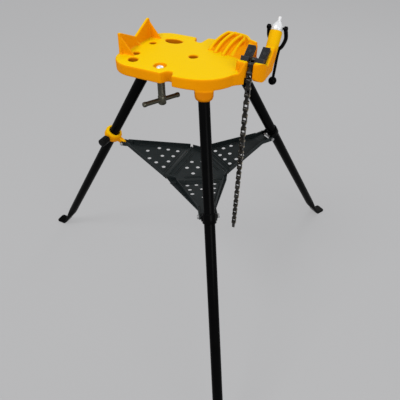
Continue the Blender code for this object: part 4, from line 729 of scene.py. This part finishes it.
def castTable():
    # the CAD casting, cut at its levels and fitted; the added shells; the remesh that makes them one
    source = frame["nodes"]["table_casting"].data.copy()
    bm = merged(source, 2e-6)
    for level in casting["cutLevels"]:
        geometry = [*bm.verts, *bm.edges, *bm.faces]
        bmesh.ops.bisect_plane(bm, geom=geometry, dist=1e-6, plane_co=(0, 0, level), plane_no=(0, 0, 1))
    bmesh.ops.triangulate(bm, faces=bm.faces)
    handBack(bm, source)
    source.materials.clear()
    edge = tableEdge(casting["corner"], casting["nearRound"])
    former = tableEdge(casting["oldCorner"], casting["farRound"])
    fitted = fitToEdge(readPoints(source), edge, former)
    source.vertices.foreach_set("co", fitted.ravel())
    source.update()
    width = bender["ridges"][1][0] - bender["ridges"][0][0]
    solids = [skirtBand(edge), rimGrid(edge), bossGrid(edge, sockets["near"]),
        bossGrid(edge, sockets["far"])]
    solids += [ridgeGrid(*ridge) for ridge in bender["ridges"]]
    solids += [grooveGrid(*groove, width) for groove in bender["grooves"]]
    bm = bmesh.new()
    for part in (source, gridMesh("castingExtra", solids),
            gridMesh("castingCollars", [boreCollar(hole) for hole in bores], True)):
        bm.from_mesh(part)
    blank = bpy.data.objects.new("castingBlank", handBack(bm, source))
    scene.collection.objects.link(blank)
    remesh = blank.modifiers.new("sandMould", "REMESH")
    remesh.mode = "VOXEL"
    remesh.voxel_size = casting["voxel"]
    relax = blank.modifiers.new("relax", "SMOOTH")
    relax.factor = casting["relax"]
    relax.iterations = casting["passes"]
    bpy.context.view_layer.update()
    mesh = bpy.data.meshes.new_from_object(blank.evaluated_get(bpy.context.evaluated_depsgraph_get()))
    mesh.name = "tableCasting"
    bpy.data.objects.remove(blank)
    mesh.materials.clear()
    points = roundCheek(readPoints(mesh))
    mesh.vertices.foreach_set("co", points.ravel())
    mesh.update()
    # painted light tone on the casting's points: painted highlight and painted shade
    tone = mesh.attributes.new("paintedLightTone", "FLOAT", "POINT")
    tone.data.foreach_set("value", paintedLightTone(points, readPoints(mesh, "vertex_normals", "vector"), edge))
    print("casting triangles:", sum(len(face.vertices) - 2 for face in mesh.polygons))
    return addPiece("tableCasting", mesh, "root", "castYellow", ("table_casting",), 50)


castTable()
print("casting done")

# Legs: superellipse rings carried down the tube, round at the head and flat at the foot
stand = dict(top=0.86, drop=0.034, circle=0.652, reach=0.0384, corner=0.007, footWidth=0.04,
    footThick=0.008, toeRun=0.006, flatten=0.085, bend=0.017)
tip = stand["circle"] + stand["reach"] - stand["corner"]
frontAngle = math.radians(58.4)
halfInner = stand["footWidth"] / 2 - stand["corner"]
hubX = (tip - tip * math.cos(frontAngle) - halfInner * math.sin(frontAngle)) / 2
centre = np.array((hubX, 0, 0))
legs = dict(
    near=dict(angle=-frontAngle, pivot=0.112, radius=0.01325),
    far=dict(angle=frontAngle, pivot=0.112, radius=0.01475),
    rear=dict(angle=math.pi, pivot=0.134, radius=0.01475),
)


def legAxis(leg):
    outward = np.array((math.cos(leg["angle"]), math.sin(leg["angle"]), 0))
    side = np.cross((0, 0, 1), outward)
    pivot = centre + outward * leg["pivot"] + np.array((0, 0, stand["top"] - stand["drop"]))
    ground = centre + outward * stand["circle"]
    return pivot, unit(ground - pivot), outward, side


def legGrid(leg, sides=48):
    # at each place down the leg: x and y are the half sizes times the cosine and sine raised to two over
    # the power
    pivot, down, outward, side = legAxis(leg)
    radius, flatHalf, wide = leg["radius"], stand["footThick"] / 2, stand["footWidth"] / 2
    thickDown = np.cross(side, down)
    keys = [(pivot - down * radius * math.sin(a), radius * math.cos(a), radius * math.cos(a), 2, thickDown)
            for a in np.radians(np.linspace(88, 0, 9))]

    def onAxis(height):
        return pivot + down * ((pivot[2] - height) / -down[2])

    start, finish = onAxis(stand["flatten"] * 1.25), onAxis(stand["bend"])
    keys.append((start, radius, radius, 2, thickDown))
    s = np.linspace(0, 1, 12)[1:]
    for share, soft in zip(s, ease(s)):
        keys.append((start + (finish - start) * share, radius + (wide * 0.97 - radius) * soft,
            radius + (flatHalf * 1.1 - radius) * soft, 2 + 4 * soft, thickDown))
    flatStart = centre + outward * (stand["circle"] + flatHalf) + up * flatHalf
    knee = onAxis(stand["footThick"]) * 0.6 + flatStart * 0.4 + up * flatHalf * 0.3
    bendPath = smoothPath([finish, knee, flatStart, flatStart + outward * stand["toeRun"]], 8)
    turn = unit(np.gradient(bendPath, axis=0))
    for point, run in zip(bendPath[1:], turn[1:]):
        keys.append((point, wide, flatHalf, 8, np.cross(side, run)))
    toe = centre + outward * (stand["circle"] + stand["reach"]) + up * flatHalf
    for a in np.radians(np.linspace(0, 90, 7)):
        place = toe - outward * stand["corner"] * (1 - math.sin(a))
        keys.append((place, wide - stand["corner"] * (1 - math.cos(a)), flatHalf, 9,
            np.cross(side, outward)))
    place, halfWide, halfThick, power, thick = (np.array(v, float) for v in zip(*keys))
    t = 2 * np.pi * (np.arange(sides) + 0.5) / sides
    shape = 2 / power[:, None]
    x = np.sign(np.cos(t)) * np.abs(np.cos(t)) ** shape * halfWide[:, None]
    y = np.sign(np.sin(t)) * np.abs(np.sin(t)) ** shape * halfThick[:, None]
    return place[:, None] + x[..., None] * side + y[..., None] * thick[:, None]


for name, leg in legs.items():
    body = "rear_leg" if name == "rear" else "root"
    addGrids(name + "Leg", [legGrid(leg)], body, "legBlack", (name + "_leg",), 50)
print("legs done")

# Chain: thick inner blocks and thin outer plates, each a waisted outline carried through its thickness
chain = dict(
    pitch=0.0175, x=0.295, saddleY=-0.0075, saddleZ=0.862, saddleR=0.0098, gap=0.0004, half=0.0055,
    waist=0.0038, innerWidth=0.0082, tight=0.0004, innerHalf=0.0037, plate=0.0018, play=0.0003, pinR=0.0025,
    pinLength=0.0146, firstAngle=-40.5, below=27.0, hangY=-0.0285, lean=0.06, overSaddle=5,
    groups=(3, 6, 4, 4, 4, 4, 4, 4), bevel=0.0005, plumb=0.0004, noseReach=1.1, nose=(0.9, 0.5),
    pinDome=0.0008, pinRise=0.0002)


def chainPins():
    # over the saddle the pins step by equal angles on one circle; then they hang, each leaning by a share of
    # its gap to the hanging line
    mid = chain["saddleR"] + chain["half"] + chain["gap"]
    half = chain["pitch"] / 2
    circle = math.hypot(mid, half)
    a = np.radians(chain["firstAngle"]) + 2 * math.asin(half / circle) * np.arange(chain["overSaddle"])
    over = np.stack([chain["saddleY"] + circle * np.cos(a), chain["saddleZ"] + circle * np.sin(a)], -1)
    below = math.radians(chain["below"])
    anchor = over[0] + np.array((math.sin(below), -math.cos(below))) * chain["pitch"]
    pins = [anchor, *over]
    while len(pins) < sum(chain["groups"]) + 1:
        y, z = pins[-1]
        gap = chain["hangY"] - y
        lean = gap / chain["lean"] * chain["pitch"] if abs(gap) > chain["plumb"] else 0
        pins.append(np.array((y + lean, z - math.sqrt(chain["pitch"] ** 2 - lean ** 2))))
    return np.array(pins)


def linkOutline(tapered=False):
    # two round ends and a smooth waist; the tapered one narrows to a point
    pitch, half, waist = chain["pitch"], chain["half"], chain["waist"]
    x = pitch * (0.5 - 0.5 * np.cos(np.linspace(0, np.pi, 9)))[1:-1]
    t = np.radians(np.linspace(-90, 90, 11))
    if tapered:
        tip, (long, slim) = pitch * chain["noseReach"], chain["nose"]
        nose = np.stack([tip + half * long * np.cos(t), half * slim * np.sin(t)], -1)
        neck = half + (half * slim - half) * x / tip
    else:
        nose = np.stack([pitch + half * np.cos(t), half * np.sin(t)], -1)
        neck = waist + (half - waist) * (np.abs(2 * x / pitch - 1)) ** 2.2
    tail = np.stack([-half * np.cos(t), -half * np.sin(t)], -1)
    top = np.stack([x[::-1], neck[::-1]], -1)
    low = np.stack([x, -neck], -1)
    return np.concatenate([low, nose, top, tail])


def platePrism(outline, low, high):
    # outline carried from one face to the other with a small chamfer at both
    chamfer = chain["bevel"]
    inward = unit(outline.mean(0) - outline) * chamfer
    layers = [(outline + inward, low), (outline, low + chamfer), (outline, high - chamfer),
        (outline + inward, high)]
    return np.stack([np.column_stack([ring, np.full(len(ring), z)]) for ring, z in layers])


def chainBody(name, node, first, count, pins):
    # even links are blocks, odd ones pairs of plates with two domed pins, each set from the link's own plane
    plates, rivets = [], []
    last = len(pins) - 2
    inner = chain["innerHalf"] + chain["play"]
    outer = inner + chain["plate"]
    r, tall, dome, rise = chain["pinR"], chain["pinLength"] / 2, chain["pinDome"], chain["pinRise"]
    half = [(r, tall - dome), (r * 0.7, tall - rise), (r * 0.1, tall)]
    rivet = [(x, -h) for x, h in half[::-1]] + half
    for i in range(first, first + count):
        run = unit(pins[i + 1] - pins[i])
        basis = np.array([(0, run[0], run[1]), (0, -run[1], run[0]), (1, 0, 0)])
        origin = np.array((chain["x"], *pins[i]))
        if i % 2 == 0:
            half = chain["innerWidth"] / 2 - (chain["tight"] if i == first + count - 1 else 0)
            plates.append(origin + platePrism(linkOutline(i == last), -half, half) @ basis)
        else:
            for low, high in ((inner, outer), (-outer, -inner)):
                plates.append(origin + platePrism(linkOutline(), low, high) @ basis)
            for x in (0, chain["pitch"]):
                rivets.append(origin + turnedGrid(rivet, (x, 0, 0), up, 16) @ basis)
    addGrids(name, plates, node, "chainBlack", (node,), 35)
    addGrids(name + "Rivets", rivets, node, "pinBronze", (), 35)


pins = chainPins()
firstLink = 0
for run, count in enumerate(chain["groups"]):
    name = f"chain_run_{run}" if run else "chain_start"
    chainBody(f"chainRun{run}" if run else "chainStart", name, firstLink, count, pins)
    firstLink += count
print("chain done")

# Screw head: domed nut, washer, stem with its fine thread, folding handle
head = dict(x=0.316, topY=0.0735, topZ=0.921, tilt=32.0, nutR=0.013, stemR=0.004, flange=0.01, dome=0.007,
    collar=0.006, domeR=0.0055, edge=0.0008, washer=0.002, washerR=0.013, washerBore=0.0085,
    washerSoft=0.0004, stemLength=0.011, stemTip=0.001, thread=(0.0005, 0.00125), gap=0.0003,
    boreTop=0.0004, boreLow=0.0005, tipSoft=(0.0002, 0.0008), tipCore=0.0004)
tilt = math.radians(head["tilt"])
screwAxis = np.array((0, math.sin(tilt), math.cos(tilt)))
housingTop = np.array((head["x"], head["topY"], head["topZ"]))
nutLow = head["gap"] * 2 + head["washer"]


def threadGrid(radius, depth, pitch, low, high, origin, axis, sides=32, perTurn=8):
    # radius falls by the depth in a rounded saw wave of the height over the pitch, less the angle's share
    first, second, along = axisFrame(axis)
    h = np.arange(low, high, pitch / perTurn)
    t = np.linspace(0, 2 * np.pi, sides, endpoint=False)
    phase = (h[:, None] / pitch - t[None] / (2 * np.pi)) % 1
    r = radius - depth * (0.5 + 0.5 * np.cos(2 * np.pi * phase)) ** 0.8
    spin = np.cos(t)[:, None] * first + np.sin(t)[:, None] * second
    return np.asarray(origin) + r[..., None] * spin[None] + h[:, None, None] * along


nutTop = nutLow + head["flange"] + head["dome"]
collarTop = nutLow + head["collar"]
nutProfile = [(head["stemR"] + head["boreTop"], nutTop)]
nutProfile += [(head["domeR"] + (head["nutR"] - head["domeR"]) * (1 - math.sin(v)) ** 0.8,
    collarTop + (nutTop - collarTop) * math.sin(v)) for v in np.radians(np.linspace(90, 0, 12))]
nutProfile += [(head["nutR"], nutLow + head["edge"]), (head["nutR"] - head["edge"], nutLow),
    (head["stemR"] + head["boreLow"], nutLow)]
addGrids("domedNut", [turnedGrid(nutProfile, housingTop, screwAxis)], "chain_nut", "zincBright",
    ("chain_nut",), wrapRows=True)
washerProfile = rodProfile(head["washerR"], head["gap"], head["gap"] + head["washer"], head["washerSoft"],
    head["washerBore"])[::-1]
addGrids("thrustWasher", [turnedGrid(washerProfile, housingTop, screwAxis)], "root", "zincBright",
    ("thrust_washer",), wrapRows=True)
stemTop = nutTop + head["stemLength"]
stem = threadGrid(head["stemR"], *head["thread"], nutLow + head["flange"], stemTop - head["stemTip"],
    housingTop, screwAxis)
root, edge = (head["stemR"] - soft for soft in head["tipSoft"])
tipProfile = [(root, stemTop - head["stemTip"]), (edge, stemTop), (head["tipCore"], stemTop)]
cap = turnedGrid(tipProfile, housingTop, screwAxis, 32)
addGrids("screwStem", [np.concatenate([stem, cap])], "chain_screw", "zincBright")
roundedCopy("chainScrew", "chain_screw", "chain_screw", "zincBright", 0.0003, 2)
print("screw head done")

# Handle: a bow of round rod through the two eyes, a stem and a ball
bow = dict(rod=0.0046, half=0.0195, elbow=(0.017, -0.029), join=(0.041, -0.060), ball=(0.028, -0.1365),
    stem=0.0036, ballR=0.0105, eyeR=0.0056, eyeWidth=0.0072, eyeSoft=0.0008, eyeHeight=0.005,
    pinHoleR=0.0027, pinR=0.0025, pinHead=1.35, pinFrom=0.0115, pinTo=0.0245, elbowShare=0.97,
    stemRoot=1.15, knobFacets=22)
pivot = housingTop + screwAxis * (nutLow + bow["eyeHeight"])


def buildHandle():
    def at(x, offset):
        return pivot + np.array((x, *offset))

    half, elbowX = bow["half"], bow["half"] * bow["elbowShare"]
    path = smoothPath([at(-half, (0, 0)), at(-elbowX, bow["elbow"]), at(0, bow["join"]),
        at(elbowX, bow["elbow"]), at(half, (0, 0))], 72)
    loop = tubeGrid(path, bow["rod"], 28, (0, 0.8, -0.6))
    low, high = at(0, bow["join"]), at(0, bow["ball"])
    middle = (low + high) / 2 + np.array((0, bow["rod"] / 4, 0))
    widths = (bow["rod"] * bow["stemRoot"], bow["stem"], bow["stem"])
    taper = np.interp(np.linspace(0, 1, 24), (0, 0.25, 1), widths)
    stemTube = tubeGrid(smoothPath([low, middle, high], 24), taper, 24)
    t = np.radians(np.linspace(2, 178, bow["knobFacets"]))
    ball = turnedGrid(np.stack([bow["ballR"] * np.sin(t), bow["ballR"] * np.cos(t)], -1), high, up, 36)
    addGrids("foldingHandle", [loop, stemTube, ball], "handle", "legBlack", ("handle",), 50)
    width = bow["eyeWidth"] / 2
    eyeProfile = rodProfile(bow["eyeR"], -width, width, bow["eyeSoft"], bow["pinHoleR"])[::-1]
    eyes = [turnedGrid(eyeProfile, at(sign * half, (0, 0)), (1, 0, 0)) for sign in (-1, 1)]
    addGrids("handleEyes", eyes, "handle", "legBlack", wrapRows=True)


buildHandle()
r, wide, low, high = bow["pinR"], bow["pinR"] * bow["pinHead"], bow["pinFrom"], bow["pinTo"]
pinProfile = [(0.0003, low), (r, low + 0.0003), (r, high - 0.0014), (wide, high - 0.0012),
    (wide, high - 0.0004), (r, high), (0.0003, high)]
for name, sign in (("inner", -1), ("outer", 1)):
    pin = turnedGrid(pinProfile, pivot, (sign, 0, 0), 32)
    addGrids(name + "HandlePin", [pin], "chain_nut", "legBlack", (name + "_handle_pin",))
print("handle done")

# Brace screw: cut thread between the nut and the lower head, with its bar
brace = dict(radius=0.0093, pitch=0.003, depth=0.0007, top=0.8485, headTop=0.787, headLow=0.764,
    headR=0.01, soft=0.002, core=0.0006, neck=0.001, shoulder=0.0004, barR=0.0055, barEndR=0.0063)
bracePlace = np.array((*braceAt, 0))
low, high = brace["headLow"], brace["headTop"]
shank = threadGrid(brace["radius"], brace["depth"], brace["pitch"], high + brace["neck"], brace["top"],
    bracePlace, up, 40)
headProfile = rodProfile(brace["headR"], low, high, brace["soft"], brace["core"])[:-1]
headProfile.append((brace["radius"] - brace["depth"], high + brace["shoulder"]))
headGrid = turnedGrid(headProfile, bracePlace, up, 40)
addGrids("braceScrew", [np.concatenate([headGrid, shank])], "brace_screw", "darkSteel",
    ("brace_screw",), 45)
roundedCopy("braceCap", "brace_cap", "brace_cap", "zincBright", 0.0004)
barPoints = readPoints(frame["nodes"]["brace_bar"].data)
barMiddle = (barPoints.min(0) + barPoints.max(0)) / 2
barAxis = np.linalg.svd(barPoints - barMiddle, full_matrices=False)[2][0]
half, r, knob = np.abs((barPoints - barMiddle) @ barAxis).max(), brace["barR"], brace["barEndR"]
endShape = [(0.0004, half), (knob - 0.003, half), (knob - 0.0008, half - 0.0012), (knob, half - 0.0035),
    (knob, half - 0.008), (r, half - 0.011)]
barProfile = endShape + [(x, -h) for x, h in endShape[::-1]]
addGrids("braceBar", [turnedGrid(barProfile, barMiddle, barAxis, 32)], "brace_bar", "darkSteel",
    ("brace_bar",))
print("brace screw done")

# Pieces whose solids are right: rounded copies with their finishes, each as nodes, finish and width
trim = (
    (("tray_centre", "near_leaf", "far_leaf", "rear_leaf"), "trayGrey", 0.0006),
    (("inner_near_jaw", "inner_far_jaw", "outer_near_jaw", "outer_far_jaw"), "hardenedBlack", 0.0007),
    (("inner_near_jaw_screw", "inner_far_jaw_screw", "outer_near_jaw_screw", "outer_far_jaw_screw"),
     "screwBlack", 0.0004),
    (("near_leg_clamp", "far_leg_clamp"), "legBlack", 0.0008),
    (("rear_collar",), "castYellow", 0.0015),
    (("lock_knob",), "knobBlack", 0.001),
    (("near_clamp_bolt", "far_clamp_bolt", "rear_link_bolt", "chain_anchor_pin"), "dullZinc", 0.0006),
    (("rear_leg_pin",), "legBlack", 0.0008),
    (("near_tray_hinge_pin", "far_tray_hinge_pin", "rear_tray_hinge_pin"), "darkSteel", 0.0003),
)
bodyOf = {node: body for body, nodes in frame["record"]["behaviour"]["bodies"].items() for node in nodes}


def pieceName(node):
    words = node.split("_")
    return words[0] + "".join(word.capitalize() for word in words[1:])


for nodes, finish, width in trim:
    for node in nodes:
        roundedCopy(pieceName(node), node, bodyOf[node], finish, width, 2)
# painted highlight on the rear collar: its painted light tone grows as its faces point up
collar = bpy.data.objects["rearCollar"].data
tone = collar.attributes.new("paintedLightTone", "FLOAT", "POINT")
tone.data.foreach_set("value", np.clip(readPoints(collar, "vertex_normals", "vector")[:, 2] * 0.9, 0, 0.9))

# Front leg pins: riveted flush with their bosses
flushPin = dict(r=0.0045, half=0.0206, soft=0.001)
for name in ("near", "far"):
    pivot, _, _, side = legAxis(legs[name])
    profile = rodProfile(flushPin["r"], -flushPin["half"], flushPin["half"], flushPin["soft"])
    addGrids(name + "LegPin", [turnedGrid(profile, pivot, side, 24)], "root", "legBlack",
        (name + "_leg_pin",))
print("trim done")

# Tray: half-round ribs pressed into the sheets along the rims and beside the hinges, tongues that close
# the leaves between their arms, and the wings that carry the near leaf and the centre panel out past
# their rims
tray = dict(height=0.53, hinge=0.062, sheet=0.002, inset=0.010, cross=(0.013, 0.0205),
    hubLines=(0.0475, 0.0425), hubInset=0.026, bead=0.0017, beadSink=0.0005, beadRise=0.0006,
    beadSteps=14, crossGap=0.007, tipSpread=0.0015, tongueGap=0.008, tongueLap=0.002, tongueSpread=0.001,
    reference=(0.3, 0.4, 0.87),
    leaves=dict(
        near=dict(width=0.138, tip=0.575, back=0.026, arm=0.01925, plate=0.02975, ribs=0.86),
        far=dict(width=0.138, tip=0.550, back=0.026, arm=0.02075, plate=0.03125, ribs=0.86),
        rear=dict(width=0.168, tip=0.540, back=0.050, arm=0.006, plate=0.015, ribs=0.8)))
wings = dict(roots={-1: 0.085, 1: 0.076}, inner=0.067, thin=0.0008, first=0.0035, lap=0.002, edge=0.0018,
    barrel=0.0042, barrelSoft=0.0005, radial=0.0585, ends=dict(far=0.069, rear=0.084), endRadial=0.0572)


def hubPoint(name, radial, half):
    # point of the centre panel: out from the hub towards a leg, and half along its hinge
    _, _, outward, side = legAxis(legs[name])
    return centre + outward * radial + side * half + up * tray["height"]


def leafPlane(name):
    # origin at the hinge, the axes x to the tip pivot, y along the hinge and z off the sheet, the length
    # of the plate and the way to the tip
    pivot, down, outward, side = legAxis(legs[name])
    leaf = tray["leaves"][name]
    origin = hubPoint(name, tray["hinge"], 0)
    tip = pivot + down * ((pivot[2] - leaf["tip"]) / -down[2]) - outward * leaf["back"]
    along, length = unit(tip - origin), np.linalg.norm(tip - origin)
    return origin, np.stack([along, side, np.cross(along, side)]), length - leaf["plate"], length


def beadGrid(start, end, origin, basis):
    # a round rod half sunk in the sheet, with its ends turned down
    share = np.linspace(0, 1, tray["beadSteps"])
    lift = np.clip(np.minimum(share, share[::-1]) * 12, 0, 1) * tray["beadRise"]
    path = np.array(start) + np.subtract(end, start) * share[:, None]
    path = np.column_stack([path, tray["sheet"] / 2 - tray["beadSink"] + lift])
    return tubeGrid(origin + path @ basis, tray["bead"], 12, tray["reference"])


def stripGrid(x, low, high, thin, origin, basis):
    # a flat strip: at each x its section runs from low to high across, and from -thin to thin off the sheet
    corners = ((low, -thin), (high, -thin), (high, thin), (low, thin))
    loops = [np.stack([x, y + 0 * x, np.full_like(x, z)], 1) for y, z in corners]
    return origin + np.stack(loops, 1) @ basis


def leafHalf(leaf, end, x, root):
    # half width at x: straight from the root to the arms at the plate's end
    return root + (leaf["arm"] + tray["tipSpread"] - root) * x / end


hubBeads = []
for name, leaf in tray["leaves"].items():
    origin, basis, end, length = leafPlane(name)
    beads = []
    firstX, lastX = tray["cross"][-1] + tray["crossGap"], end * leaf["ribs"]
    firstY = leafHalf(leaf, end, firstX, leaf["width"] / 2) - tray["inset"]
    lastY = leafHalf(leaf, end, lastX, leaf["width"] / 2) - tray["inset"] * 0.9
    for sign in (-1, 1):
        beads.append(beadGrid((firstX, sign * firstY), (lastX, sign * lastY), origin, basis))
    for x in tray["cross"]:
        y = leafHalf(leaf, end, x, leaf["width"] / 2) - tray["inset"]
        beads.append(beadGrid((x, -y), (x, y), origin, basis))
    body = bodyOf[name + "_leaf"]
    addGrids(name + "LeafBeads", beads, body, "trayGrey")
    if name != "rear":
        x = np.linspace(end - tray["tongueLap"], length - tray["tongueGap"], 5)
        half = leaf["arm"] + tray["tongueSpread"]
        tongue = stripGrid(x, -half, half, tray["sheet"] / 2, origin, basis)
        addGrids(name + "LeafTongue", [tongue], body, "trayGrey")
    _, _, outward, side = legAxis(legs[name])
    half = leaf["width"] / 2 - tray["hubInset"]
    hubBeads += [beadGrid((x, -half), (x, half), centre + up * tray["height"],
        np.stack([outward, side, up])) for x in tray["hubLines"]]
addGrids("hubBeads", hubBeads, bodyOf["tray_centre"], "trayGrey")
print("tray beads done")

origin, basis, end, length = leafPlane("near")
leaf, thin = tray["leaves"]["near"], wings["thin"]
root = leaf["width"] / 2
x = np.linspace(wings["first"], end, 8)
innerEdge = root - wings["lap"] + (leaf["arm"] - root) * x / end
corners = [hubPoint(name, wings["endRadial"], sign * half) for name, half in wings["ends"].items()
    for sign in (-1, 1)]
wingGrids, hubWings = [], []
for sign, wingRoot in wings["roots"].items():
    outerEdge = leafHalf(leaf, end, x, wingRoot)
    low, high = (innerEdge, outerEdge) if sign == 1 else (-outerEdge, -innerEdge)
    wingGrids.append(stripGrid(x, low, high, thin, origin, basis))
    rod = origin + np.stack([x, sign * outerEdge, 0 * x], 1) @ basis
    wingGrids.append(tubeGrid(rod, wings["edge"], 10, tray["reference"]))
    half = (wingRoot - root) / 2 + wings["barrelSoft"]
    profile = rodProfile(wings["barrel"], -half, half, wings["barrelSoft"])
    middle = origin + basis[1] * sign * (wingRoot + root) / 2
    wingGrids.append(turnedGrid(profile, middle, basis[1], 16))
    near, tip = (hubPoint("near", wings["radial"], sign * y) for y in (wings["inner"], wingRoot))
    other = min(corners, key=lambda corner: np.linalg.norm(corner - tip))
    loop = np.stack([near, tip, other] if np.cross(tip - near, other - near)[2] > 0 else [near, other, tip])
    hubWings.append(np.stack([loop - up * thin, loop + up * thin]))
    path = tip + (other - tip) * np.linspace(0, 1, 4)[:, None]
    hubWings.append(tubeGrid(path, wings["edge"], 10, tray["reference"]))
addGrids("nearLeafWings", wingGrids, bodyOf["near_leaf"], "trayGrey")
addGrids("hubWings", hubWings, bodyOf["tray_centre"], "trayGrey")
print("tray wings done")
